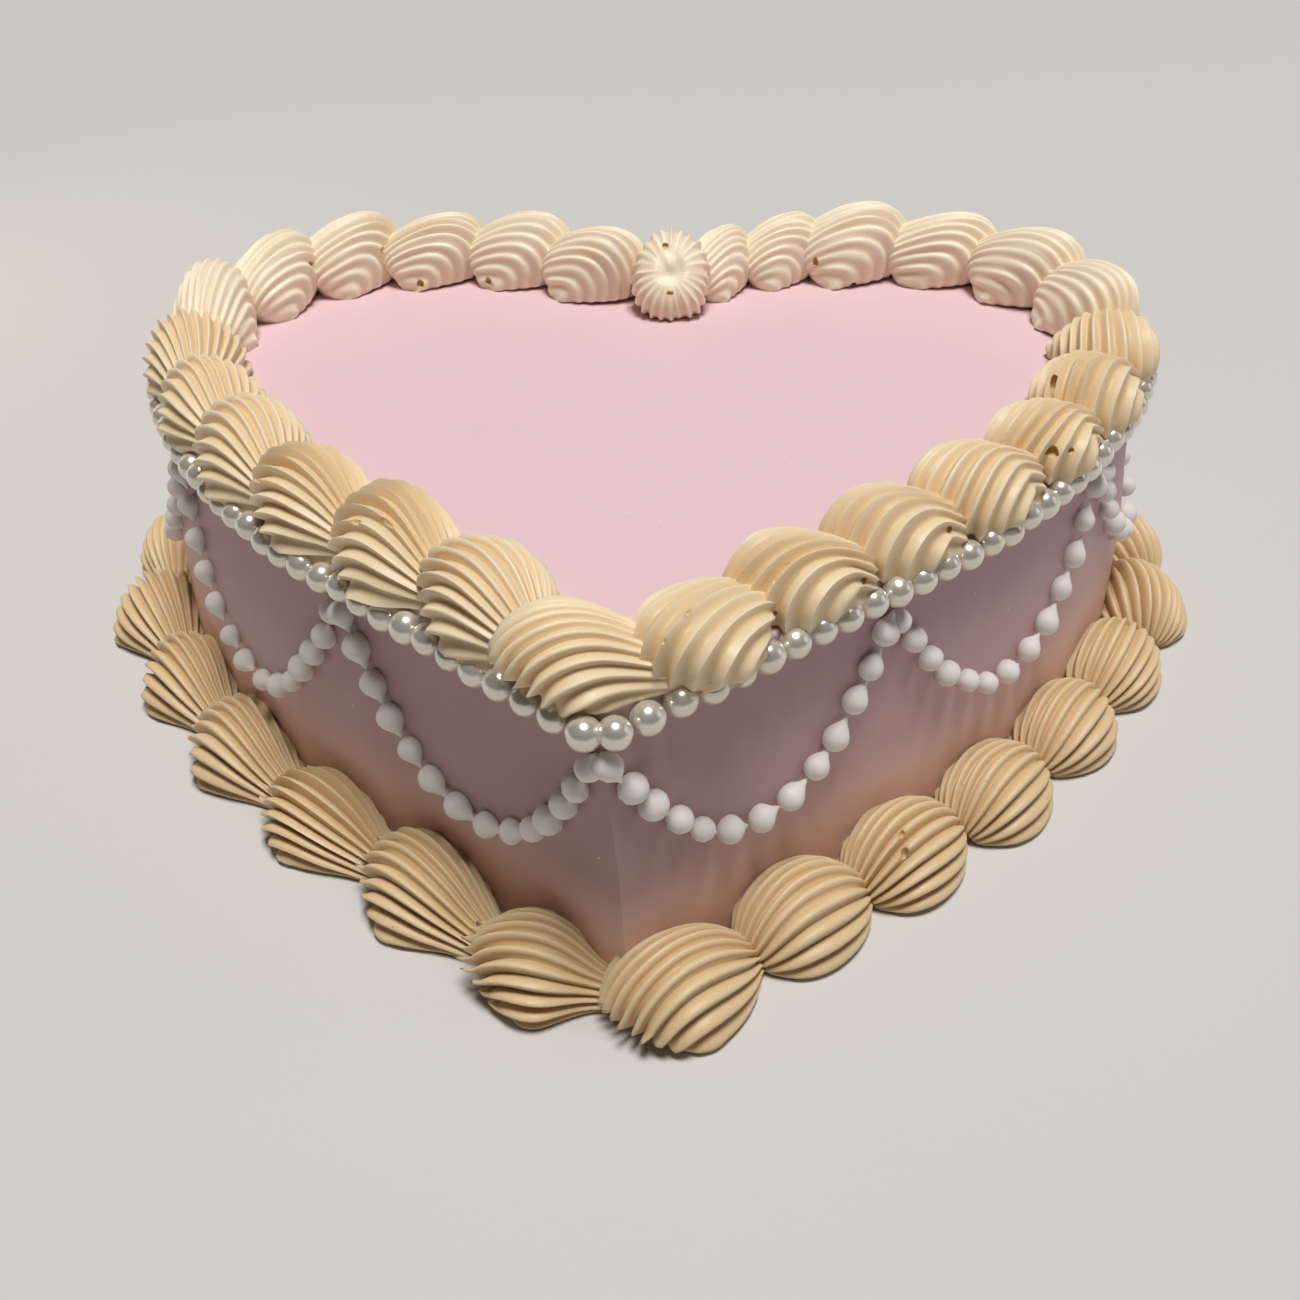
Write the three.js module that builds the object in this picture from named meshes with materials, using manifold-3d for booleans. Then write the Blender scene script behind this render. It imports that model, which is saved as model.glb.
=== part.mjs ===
// Heart shaped layer cake in smooth icing. A border of piped shells runs round the top edge and meets a
// rosette at the cleft, a chain of pearls lies under it, icing beads hang in swags on the wall, and a
// second border of shells runs round the foot. Both borders were piped counterclockwise, seen from above.
// Millimetres, +Z up. The base is on Z = 0 and the tip of the heart points toward -Y.

import * as THREE from 'three';
import { ConvexGeometry } from 'three/addons/geometries/ConvexGeometry.js';
import { mergeVertices } from 'three/addons/utils/BufferGeometryUtils.js';
import Module from 'manifold-3d';

// Heart outline of the iced wall, seen from above
const HALF_WIDTH = 136;
const TIP_Y = -132;
const LOBE_BACK_Y = 100;
const CLEFT_Y = 76.5;
const SIDE_ANGLE = THREE.MathUtils.degToRad(49.3);
const SIDE_LENGTH = 93.6;
const WIDEST_Y = 33;
const LOBE_X = 71.5;
const CAKE_HEIGHT = 80.8;
const OUTLINE_STEPS = 10;

// The wall stands out toward the base: how far at the widest point of each side, how far its tip
// leans to the right, and the share of it all that is reached at half height
const FLARE_LEFT = 9;
const FLARE_RIGHT = 4;
const TIP_LEAN = 3;
const FLARE_AT_HALF = 0.75;

// Clearance between a shell and what it touches
const GAP = 0.3;

// Ridges over a shell's arch, and how far a valley reaches of what a ridge does
const RIDGES = 7;
const VALLEY = 0.84;

// A shell's arches from head to tail: foot, lean in degrees from the back, half width and reach.
// Foot, width and reach are in half widths of the shell, and toTail is a foot's share of the tail's.
const CURLED_FORM = [
  { foot: 0.1, lean: 6, width: 0.96, reach: 1.08 },
  { foot: 0.12, lean: 42, width: 1.03, reach: 1.36 },
  { foot: 0.18, lean: 76, width: 1.0, reach: 1.46 },
  { toTail: 0.5, lean: 96, width: 0.94, reach: 1.3 },
  { toTail: 1, lean: 98, width: 0.72, reach: 0.94 },
];
const FANNED_FORM = [
  { foot: -0.4, lean: 38, width: 0.98, reach: 1.02 },
  { foot: -0.2, lean: 60, width: 1.02, reach: 1.3 },
  { foot: 0.1, lean: 84, width: 1.0, reach: 1.4 },
  { toTail: 0.55, lean: 96, width: 0.84, reach: 1.16 },
  { toTail: 1, lean: 98, width: 0.58, reach: 0.74 },
];
const ROUNDED_FORM = [
  { foot: -0.98, lean: 64, width: 0.56, reach: 0.62 },
  { foot: -0.62, lean: 72, width: 0.92, reach: 1.14 },
  { foot: 0.0, lean: 85, width: 1.04, reach: 1.42 },
  { toTail: 0.58, lean: 95, width: 0.96, reach: 1.24 },
  { toTail: 1, lean: 98, width: 0.66, reach: 0.82 },
];

// Top border: runs of shells from the cleft round the left lobe, the tip and the right lobe, by the
// first one's distance from the tip and a shift outward
const TOP_INSET = 8.5;
const TOP_RUNS = [
  { first: -352.5, count: 6, pitch: 27, shift: 0, halfWidth: 12.1, rise: 1.2, form: CURLED_FORM },
  { first: -190.6, count: 6, pitch: 31.2, shift: 0, halfWidth: 14.4, rise: 0.96, form: CURLED_FORM },
  { first: -8, count: 1, pitch: 0, shift: 3, halfWidth: 14.6, rise: 0.78, form: CURLED_FORM },
  { first: 20, count: 1, pitch: 0, shift: 3.5, halfWidth: 14, rise: 0.8, form: CURLED_FORM },
  { first: 45.6, count: 6, pitch: 28.9, shift: 0, halfWidth: 13.9, rise: 0.9, form: CURLED_FORM },
  { first: 219, count: 4, pitch: 28.4, shift: 0, halfWidth: 12.8, rise: 1.14, form: CURLED_FORM },
  { first: 327, count: 2, pitch: 21.5, shift: 0, halfWidth: 10, rise: 1.3, form: CURLED_FORM },
];

// Foot border, piped against the wall
const FOOT_OUTSET = 9.2;
const FOOT_RUNS = [
  { first: -398, count: 11, pitch: 37.2, shift: 0, halfWidth: 14.6, rise: 0.92, form: FANNED_FORM },
  { first: 14.6, count: 1, pitch: 0, shift: -1, halfWidth: 14.2, rise: 0.98, form: ROUNDED_FORM },
  { first: 50.4, count: 12, pitch: 33.6, shift: 0, halfWidth: 13.9, rise: 0.96, form: ROUNDED_FORM },
];

// Rosette at the cleft
const ROSETTE_RIDGES = 12;
const ROSETTE_VALLEY = 0.78;
const ROSETTE_X = 6.5;
const ROSETTE_Y = 65;
const ROSETTE_REACH = 12;
const ROSETTE_RINGS = [
  { z: 0, radius: 10.2 },
  { z: 6, radius: 11.8 },
  { z: 14, radius: 8.8 },
  { z: 20, radius: 2.8 },
];

// Pearls
const PEARL_COUNT = 105;
const PEARL_RADIUS = 3.8;
const PEARL_Z = 77;
const PEARL_STAND_OFF = 2.7;

// Swags: distance of each hanging point from the tip, along the wall, and how low each loop hangs
const SWAG_TOP_Z = 72.5;
const SWAGS = [
  { from: -396, to: -322, low: 33 },
  { from: -322, to: -250, low: 32 },
  { from: -250, to: -172, low: 30 },
  { from: -172, to: -84, low: 27 },
  { from: -84, to: -1, low: 29.5 },
  { from: -1, to: 79, low: 33.5 },
  { from: 79, to: 167, low: 33 },
  { from: 167, to: 244, low: 34 },
  { from: 244, to: 320, low: 32 },
  { from: 320, to: 396, low: 34 },
];
const BEAD_PITCH = 9.6;
const BEAD_OUTLINE = [
  [4.4, 0],
  [0.4, 2.6],
  [-2.7, 1.5],
  [-2.7, -1.5],
  [0.4, -2.6],
];
const BEAD_CREST = [
  [-0.9, 4.1],
  [1.5, 3.0],
];
const BEAD_SUNK = 0.5;

const COLOURS = {
  icing: 0xeccdd2,
  topCream: 0xe9d3a9,
  footCream: 0xdfbf94,
};

const wasm = await Module();
wasm.setup();

// Repeatable draws between low and high
function makeDraw(seed) {
  let state = seed;
  return (low, high) => {
    state = (state * 1664525 + 1013904223) % 4294967296;
    return low + (high - low) * (state / 4294967296);
  };
}

// The heart outline moved inward by inset, from the cleft counterclockwise back to the cleft
function heartPath(inset) {
  const tip = new THREE.Vector2(0, TIP_Y + inset / Math.sin(SIDE_ANGLE));
  const along = new THREE.Vector2(Math.sin(SIDE_ANGLE), Math.cos(SIDE_ANGLE));
  const shoulder = tip.clone().addScaledVector(along, SIDE_LENGTH - 0.5 * inset);
  const bend = shoulder.clone().addScaledVector(along, 48);
  const widest = new THREE.Vector2(HALF_WIDTH - inset, WIDEST_Y);
  const back = new THREE.Vector2(LOBE_X, LOBE_BACK_Y - inset);
  const cleftY = CLEFT_Y - 1.1 * inset;
  const path = new THREE.Shape();
  path.moveTo(0, cleftY);
  path.bezierCurveTo(-24, cleftY + 14, -back.x + 44, back.y, -back.x, back.y);
  path.bezierCurveTo(-back.x - 30, back.y, -widest.x, widest.y + 33, -widest.x, widest.y);
  path.bezierCurveTo(-widest.x, widest.y - 20, -bend.x, bend.y, -shoulder.x, shoulder.y);
  path.lineTo(tip.x, tip.y);
  path.lineTo(shoulder.x, shoulder.y);
  path.bezierCurveTo(bend.x, bend.y, widest.x, widest.y - 20, widest.x, widest.y);
  path.bezierCurveTo(widest.x, widest.y + 33, back.x + 30, back.y, back.x, back.y);
  path.bezierCurveTo(back.x - 44, back.y, 24, cleftY + 14, 0, cleftY);
  return path;
}

// Where a point at x moves to sideways, by the flare and the lean of the wall at height z
function flaredX(x, z) {
  const height = z / CAKE_HEIGHT;
  const upper = 2 * FLARE_AT_HALF * (1 - height);
  const lower = 1 - 2 * (1 - FLARE_AT_HALF) * height;
  const side = x / HALF_WIDTH;
  const flare = side * (x < 0 ? FLARE_LEFT : FLARE_RIGHT) + (1 - Math.abs(side)) * TIP_LEAN;
  return x + flare * Math.min(upper, lower);
}

// The plain heart block, its wall moved inward by inset
function wallBlock(inset) {
  const block = new THREE.ExtrudeGeometry(heartPath(inset), {
    depth: CAKE_HEIGHT,
    steps: 2,
    bevelEnabled: false,
    curveSegments: OUTLINE_STEPS,
  });
  const { position } = block.attributes;
  for (let index = 0; index < position.count; index += 1) {
    position.setX(index, flaredX(position.getX(index), position.getZ(index)));
  }
  return block;
}

// Point and outward direction at a distance from the tip along a heart path
function pathFrame(path, fromTip) {
  const length = path.getLength();
  const fraction = THREE.MathUtils.euclideanModulo(0.5 + fromTip / length, 1);
  const point = path.getPoint(fraction);
  const before = path.getPoint(Math.max(fraction - 0.002, 0));
  const after = path.getPoint(Math.min(fraction + 0.002, 1));
  const tangent = after.sub(before).normalize();
  return { point, tangent, outward: new THREE.Vector2(tangent.y, -tangent.x) };
}

function triangleGeometry(positions, indices) {
  const geometry = new THREE.BufferGeometry();
  geometry.setAttribute('position', new THREE.Float32BufferAttribute(positions, 3));
  geometry.setIndex(indices);
  return geometry;
}

// One arch of a shell: ridge crests and valleys from the right foot over the top to the left foot
function archPoints(x, lean, halfWidth, reach) {
  const points = [];
  const steps = 2 * (RIDGES - 1);
  for (let step = 0; step <= steps; step += 1) {
    const turn = (Math.PI * step) / steps;
    const swell = step % 2 === 0 ? 1 : VALLEY;
    const across = -halfWidth * Math.cos(turn) * swell;
    const up = reach * Math.sin(turn) * swell;
    points.push([x - up * Math.cos(lean), across, up * Math.sin(lean)]);
  }
  return points;
}

// An arch laid flat in its own plane
function flatArch(points) {
  const footX = points[0][0];
  return points.map(([x, y, z]) => new THREE.Vector2(y, Math.hypot(x - footX, z)));
}

// A shell along +X with its head round the origin and its tail at tailEnd, standing on Z = 0
function shellGeometry(spot, tailEnd, draw) {
  const arches = spot.form.map((arch) => {
    const foot = arch.toTail ? arch.toTail * tailEnd : arch.foot * spot.halfWidth;
    const lean = THREE.MathUtils.degToRad(arch.lean + draw(-2, 2));
    const width = arch.width * spot.halfWidth * draw(0.98, 1.02);
    const reach = arch.reach * spot.halfWidth * spot.rise * draw(0.97, 1.03);
    return archPoints(foot, lean, width, reach);
  });
  const ring = arches[0].length;
  const indices = [];
  for (let arch = 0; arch < arches.length - 1; arch += 1) {
    for (let step = 0; step < ring; step += 1) {
      const here = arch * ring + step;
      const next = arch * ring + ((step + 1) % ring);
      indices.push(here, here + ring, next);
      indices.push(next, here + ring, next + ring);
    }
  }
  const last = (arches.length - 1) * ring;
  for (const [a, b, c] of THREE.ShapeUtils.triangulateShape(flatArch(arches[0]), [])) {
    indices.push(a, c, b);
  }
  for (const [a, b, c] of THREE.ShapeUtils.triangulateShape(flatArch(arches.at(-1)), [])) {
    indices.push(last + a, last + b, last + c);
  }
  return triangleGeometry(arches.flat(2), indices);
}

// A border's shells in order: centre, form, half width, rise and the room its head takes
function borderSpots({ path, runs, level }, draw) {
  const spots = [];
  for (const { first, count, pitch, shift, halfWidth: usual, rise, form } of runs) {
    const [head] = form;
    const back = rise * head.reach * Math.cos(THREE.MathUtils.degToRad(head.lean)) - head.foot;
    for (let step = 0; step < count; step += 1) {
      const { point, outward } = pathFrame(path, first + step * pitch);
      point.addScaledVector(outward, shift).setX(flaredX(point.x, Math.min(level, CAKE_HEIGHT)));
      const halfWidth = usual * draw(0.97, 1.03);
      spots.push({ point, form, halfWidth, rise, clear: 1.04 * Math.max(back, 1) * halfWidth + GAP });
    }
  }
  return spots;
}

// A row of shells along a path, each with its tail toward the next one's head
function shellBorder(border, draw) {
  const spots = borderSpots(border, draw);
  const group = new THREE.Group();
  spots.forEach((spot, order) => {
    const next = spots[order + 1] ?? border.ending ?? spots[0];
    const way = next.point.clone().sub(spot.point);
    const tailEnd = way.length() - next.clear - 0.1 * spot.halfWidth;
    const shell = shellGeometry(spot, tailEnd, draw);
    const mesh = new THREE.Mesh(shell, border.material());
    mesh.name = `${border.name}_${String(order + 1).padStart(2, '0')}`;
    mesh.position.set(spot.point.x, spot.point.y, border.level);
    mesh.rotation.z = Math.atan2(way.y, way.x);
    if (border.wall) {
      mesh.updateMatrix();
      const cutter = toManifold(border.wall, mesh.matrix.clone().invert());
      mesh.geometry = fromManifold(toManifold(mesh.geometry).subtract(cutter));
    }
    group.add(mesh);
  });
  return group;
}

// Upright star of icing with ridges all round
function rosetteGeometry() {
  const positions = [];
  const ring = 2 * ROSETTE_RIDGES;
  for (const { z, radius } of ROSETTE_RINGS) {
    for (let step = 0; step < ring; step += 1) {
      const turn = (2 * Math.PI * step) / ring;
      const reach = radius * (step % 2 === 0 ? 1 : ROSETTE_VALLEY);
      positions.push(reach * Math.cos(turn), reach * Math.sin(turn), z);
    }
  }
  const indices = [];
  const last = (ROSETTE_RINGS.length - 1) * ring;
  for (let level = 0; level < last; level += ring) {
    for (let step = 0; step < ring; step += 1) {
      const here = level + step;
      const next = level + ((step + 1) % ring);
      indices.push(here, next, here + ring);
      indices.push(next, next + ring, here + ring);
    }
  }
  const outline = [];
  for (let step = 0; step < ring; step += 1) {
    outline.push(new THREE.Vector2(positions[3 * step], positions[3 * step + 1]));
  }
  for (const [a, b, c] of THREE.ShapeUtils.triangulateShape(outline, [])) {
    indices.push(a, c, b);
    indices.push(last + a, last + b, last + c);
  }
  return triangleGeometry(positions, indices);
}

function toManifold(source, matrix) {
  let geometry = source.clone();
  geometry.deleteAttribute('normal');
  geometry.deleteAttribute('uv');
  if (matrix) {
    geometry.applyMatrix4(matrix);
  }
  geometry = mergeVertices(geometry, 1e-5);
  return new wasm.Manifold(
    new wasm.Mesh({
      numProp: 3,
      vertProperties: new Float32Array(geometry.attributes.position.array),
      triVerts: new Uint32Array(geometry.index.array),
    }),
  );
}

function fromManifold(solid) {
  const mesh = solid.getMesh();
  return triangleGeometry(Array.from(mesh.vertProperties), Array.from(mesh.triVerts));
}

// Placement of a small thing on the wall: X along the wall and Z up before it is tilted
function wallMatrix(wall, fromTip, z, standOff, tilt) {
  const { point, tangent, outward } = pathFrame(wall, fromTip);
  const along = new THREE.Vector3(tangent.x, tangent.y, 0);
  const out = new THREE.Vector3(outward.x, outward.y, 0);
  const up = new THREE.Vector3(0, 0, 1);
  const place = new THREE.Matrix4().makeBasis(along, out.clone().negate(), up);
  place.multiply(new THREE.Matrix4().makeRotationY(-tilt));
  const centre = new THREE.Vector3(flaredX(point.x, z), point.y, z).addScaledVector(out, standOff);
  return place.setPosition(centre);
}

// The iced heart with its pearls and swag beads fused on
function cakeBodyGeometry(draw) {
  const wall = heartPath(0);
  let body = toManifold(wallBlock(0));
  // One corner of the twenty faced ball points into the wall
  const pearl = new THREE.IcosahedronGeometry(1, 0).rotateZ(Math.atan(2 / (1 + Math.sqrt(5))));
  const spacing = wall.getLength() / PEARL_COUNT;
  for (let order = 0; order < PEARL_COUNT; order += 1) {
    const radius = PEARL_RADIUS * draw(0.92, 1);
    const place = wallMatrix(wall, (order + 0.5) * spacing, PEARL_Z, PEARL_STAND_OFF, draw(0, 3));
    place.scale(new THREE.Vector3(radius, radius, radius));
    body = body.add(toManifold(pearl, place));
  }
  const bead = new ConvexGeometry([
    ...BEAD_OUTLINE.map(([along, across]) => new THREE.Vector3(along, BEAD_SUNK, across)),
    ...BEAD_CREST.map(([along, out]) => new THREE.Vector3(along, -out, 0)),
  ]);
  for (const swag of SWAGS) {
    const span = swag.to - swag.from;
    const sag = SWAG_TOP_Z - swag.low;
    const arc = span + (8 * sag * sag) / (3 * span) * 0.8;
    const beads = Math.round(arc / BEAD_PITCH);
    for (let order = 0; order < beads; order += 1) {
      const share = swagShare((order + 0.5) / beads, span, sag);
      const slope = (4 * sag * (2 * share - 1)) / span;
      const z = SWAG_TOP_Z - 4 * sag * share * (1 - share);
      const place = wallMatrix(wall, swag.from + span * share, z, 0, Math.atan(slope));
      const size = draw(0.92, 1.06);
      place.scale(new THREE.Vector3(size, size, size));
      body = body.add(toManifold(bead, place));
    }
  }
  return fromManifold(body);
}

// Share of a loop's span at which a share of its hanging length is reached
function swagShare(lengthShare, span, sag) {
  const steps = 60;
  const lengths = [0];
  for (let step = 0; step < steps; step += 1) {
    const middle = (step + 0.5) / steps;
    const slope = (4 * sag * (2 * middle - 1)) / span;
    lengths.push(lengths[step] + Math.hypot(1, slope));
  }
  const wanted = lengthShare * lengths[steps];
  const step = lengths.findIndex((length) => length >= wanted);
  const within = (wanted - lengths[step - 1]) / (lengths[step] - lengths[step - 1]);
  return (step - 1 + within) / steps;
}

function icing(colour, roughness) {
  return () => new THREE.MeshStandardMaterial({ color: colour, roughness, metalness: 0, flatShading: true });
}

const draw = makeDraw(41);
const root = new THREE.Group();
root.name = 'heart_cake';

const body = new THREE.Mesh(cakeBodyGeometry(draw), icing(COLOURS.icing, 0.6)());
body.name = 'cake_body';
root.add(body);

const rosette = new THREE.Mesh(rosetteGeometry(), icing(COLOURS.topCream, 0.55)());
rosette.name = 'rosette';
rosette.position.set(ROSETTE_X, ROSETTE_Y, CAKE_HEIGHT + GAP);
root.add(rosette);

root.add(
  shellBorder(
    {
      name: 'top_shell',
      path: heartPath(TOP_INSET),
      runs: TOP_RUNS,
      level: CAKE_HEIGHT + GAP,
      material: icing(COLOURS.topCream, 0.55),
      ending: { point: new THREE.Vector2(ROSETTE_X, ROSETTE_Y), clear: ROSETTE_REACH + GAP },
    },
    draw,
  ),
);
root.add(
  shellBorder(
    {
      name: 'foot_shell',
      path: heartPath(-FOOT_OUTSET),
      runs: FOOT_RUNS,
      level: 0,
      material: icing(COLOURS.footCream, 0.6),
      wall: wallBlock(-GAP),
    },
    draw,
  ),
);

const middle = new THREE.Box3().setFromObject(root, true).getCenter(new THREE.Vector3());
root.position.set(-middle.x, -middle.y, 0);

export default root;
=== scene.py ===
"""Heart shaped layer cake in smooth pink icing, finished the way a decorator finishes it.

The iced heart comes first, then the row of pearls and the hanging swags of icing beads, then the shells
piped round the top edge and the foot, and last the rosette at the cleft. Lengths are in millimetres in the
dataclasses and become metres as a mesh is placed.
"""

import logging
import math
import random
from dataclasses import dataclass, replace
from enum import Enum

import bmesh
import bpy
import numpy as np
from mathutils import Matrix, Vector


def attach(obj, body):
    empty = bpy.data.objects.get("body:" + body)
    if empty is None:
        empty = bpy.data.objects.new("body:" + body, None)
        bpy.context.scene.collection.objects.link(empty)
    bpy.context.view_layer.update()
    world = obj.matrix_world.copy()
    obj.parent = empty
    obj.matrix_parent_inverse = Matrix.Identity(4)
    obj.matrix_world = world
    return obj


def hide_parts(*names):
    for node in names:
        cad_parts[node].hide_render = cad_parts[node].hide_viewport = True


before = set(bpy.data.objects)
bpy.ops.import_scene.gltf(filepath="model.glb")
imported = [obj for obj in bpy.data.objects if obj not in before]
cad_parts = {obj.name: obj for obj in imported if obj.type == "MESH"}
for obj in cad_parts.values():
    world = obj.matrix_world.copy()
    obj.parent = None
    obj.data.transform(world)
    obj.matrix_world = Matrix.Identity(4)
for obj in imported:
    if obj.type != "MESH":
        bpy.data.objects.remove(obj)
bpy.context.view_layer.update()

BODY = "root"
MM = 0.001
CLOSE = 1e-3

# Vertices from one crest of piped cream to the next
ARCH_STEPS = 4

# Both whipped fat and sugar icing bend light about this much
SUGAR_AND_FAT_IOR = 1.46

Socket = bpy.types.NodeSocket

log = logging.getLogger("heart_cake")


# Small helpers


def linear(hex_colour: str) -> tuple[float, float, float, float]:
    """Turns an sRGB hex value into the linear colour that a shader socket takes.

    Args:
        hex_colour: Six hex digits, such as "f0cfd4".

    Returns:
        Red, green, blue and alpha, linear.
    """
    parts = [int(hex_colour[at : at + 2], 16) / 255 for at in (0, 2, 4)]
    return (*((p / 12.92 if p <= 0.04045 else ((p + 0.055) / 1.055) ** 2.4) for p in parts), 1.0)


def metres(*lengths: float) -> tuple[float, ...]:
    """Turns lengths in millimetres into metres."""
    return tuple(length * MM for length in lengths)


def eased(share: np.ndarray) -> np.ndarray:
    """Holds shares between 0 and 1 and lets them start and end softly."""
    share = np.clip(share, 0, 1)
    return share * share * (3 - 2 * share)


def add_node(
    tree: bpy.types.NodeTree, kind: str, settings: dict | None = None, links: dict | None = None
) -> bpy.types.Node:
    """Adds one shader node with its settings and links.

    Args:
        tree: The node tree that takes the node.
        kind: The node's Blender type.
        settings: Property names, or input names or numbers, with their values.
        links: Input names or numbers with the output sockets that feed them.

    Returns:
        The new node.
    """
    node = tree.nodes.new(kind)
    for key, value in (settings or {}).items():
        if isinstance(key, str) and hasattr(node, key):
            setattr(node, key, value)
        else:
            node.inputs[key].default_value = value
    for key, source in (links or {}).items():
        tree.links.new(source, node.inputs[key])
    return node


def deselect() -> None:
    """Leaves nothing selected, in object mode."""
    if bpy.context.object and bpy.context.object.mode != "OBJECT":
        bpy.ops.object.mode_set(mode="OBJECT")
    bpy.ops.object.select_all(action="DESELECT")


def pick(piece: bpy.types.Object) -> None:
    """Selects a piece alone and makes it the one worked on."""
    deselect()
    piece.select_set(True)
    bpy.context.view_layer.objects.active = piece


def edit(piece: bpy.types.Object) -> bmesh.types.BMesh:
    """Makes a piece the one worked on and opens it in edit mode.

    Args:
        piece: The mesh object.

    Returns:
        Its edit mesh.
    """
    pick(piece)
    bpy.ops.object.mode_set(mode="EDIT")
    bpy.ops.mesh.select_mode(type="VERT")
    return bmesh.from_edit_mesh(piece.data)


def select_where(piece: bpy.types.Object, test) -> None:
    """Selects the vertices of the piece in edit mode that pass a test, with the edges and faces between them.

    Args:
        piece: The mesh object in edit mode.
        test: A function of one vertex.
    """
    bpy.ops.mesh.select_all(action="DESELECT")
    mesh = bmesh.from_edit_mesh(piece.data)
    for vertex in mesh.verts:
        vertex.select_set(bool(test(vertex)))
    mesh.select_flush(True)
    bmesh.update_edit_mesh(piece.data)


def face_outward() -> None:
    """Turns all faces of the piece in edit mode outward, and leaves them selected."""
    bpy.ops.mesh.select_all(action="SELECT")
    bpy.ops.mesh.normals_make_consistent(inside=False)


def dent(piece: bpy.types.Object, depth: float, seed: int) -> None:
    """Moves every vertex of a piece a little at random.

    Args:
        piece: The mesh object.
        depth: How far at most.
        seed: What makes it the same on every run.
    """
    edit(piece)
    bpy.ops.mesh.select_all(action="SELECT")
    bpy.ops.transform.vertex_random(offset=depth, seed=seed)
    bpy.ops.object.mode_set(mode="OBJECT")


def turn_about_y(angle: float, centre: tuple[float, float, float]) -> None:
    """Turns the selection about the Y axis, right-handed. With no window the operator turns the other way.

    Args:
        angle: Radians.
        centre: The point it turns about.
    """
    bpy.ops.transform.rotate(value=-angle, orient_axis="Y", center_override=centre)


def apply_modifier(piece: bpy.types.Object, kind: str, **settings) -> None:
    """Adds one modifier to a piece and applies it.

    Args:
        piece: The mesh object.
        kind: The modifier's type.
        settings: Its properties.
    """
    pick(piece)
    modifier = piece.modifiers.new("step", kind)
    for key, value in settings.items():
        setattr(modifier, key, value)
    bpy.ops.object.modifier_apply(modifier="step")


def point_values(mesh: bpy.types.Mesh, name: str) -> np.ndarray:
    """Reads a number kept for each vertex.

    Args:
        mesh: The mesh.
        name: The attribute's name.

    Returns:
        One value for each vertex.
    """
    values = np.zeros(len(mesh.vertices))
    mesh.attributes[name].data.foreach_get("value", values)
    return values


def places(mesh: bpy.types.Mesh) -> np.ndarray:
    """Returns a mesh's vertex places, one row each."""
    values = np.zeros(len(mesh.vertices) * 3)
    mesh.vertices.foreach_get("co", values)
    return values.reshape(-1, 3)


def set_places(mesh: bpy.types.Mesh, values: np.ndarray) -> None:
    """Moves a mesh's vertices to new places, one row each."""
    mesh.vertices.foreach_set("co", np.ascontiguousarray(values, dtype=float).ravel())
    mesh.update()


def shade_smooth(piece: bpy.types.Object, degrees: float) -> None:
    """Shades a piece smooth, with an edge left sharp past an angle.

    Args:
        piece: The mesh object.
        degrees: The angle past which an edge stays sharp.
    """
    pick(piece)
    bpy.ops.object.shade_smooth_by_angle(angle=math.radians(degrees))


def keep(
    piece: bpy.types.Object, name: str, material: bpy.types.Material, nodes: list[str]
) -> None:
    """Names and dresses a finished piece and puts it in the place of its CAD nodes.

    Args:
        piece: The finished mesh object.
        name: Its name.
        material: Its only material.
        nodes: The CAD nodes that it stands for.
    """
    piece.name = name
    piece.data.name = name
    piece.data.materials.clear()
    piece.data.materials.append(material)
    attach(piece, BODY)
    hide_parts(*nodes)
    log.info("%s: %d faces", name, len(piece.data.polygons))


class Unevenness:
    """Smooth random ripples over two directions, the same on every run."""

    def __init__(self, draw: random.Random, waves: int, finest: float) -> None:
        """Draws the waves.

        Args:
            draw: The seeded source of numbers.
            waves: How many are added up.
            finest: The largest number of waves in one unit of length.
        """
        spans = ((-finest, finest), (-finest, finest), (0, math.tau), (0.5, 1))
        self.waves = [tuple(draw.uniform(*span) for span in spans) for _ in range(waves)]
        self.total = sum(wave[3] for wave in self.waves)

    def at(self, u: np.ndarray, v: np.ndarray) -> np.ndarray:
        """Ripple heights between -1 and 1.

        Args:
            u: First direction.
            v: Second direction.

        Returns:
            One height for each place.
        """
        heights = sum(size * np.sin(math.tau * (a * u + b * v) + phase) for a, b, phase, size in self.waves)
        return heights / self.total


# Finishes


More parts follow.
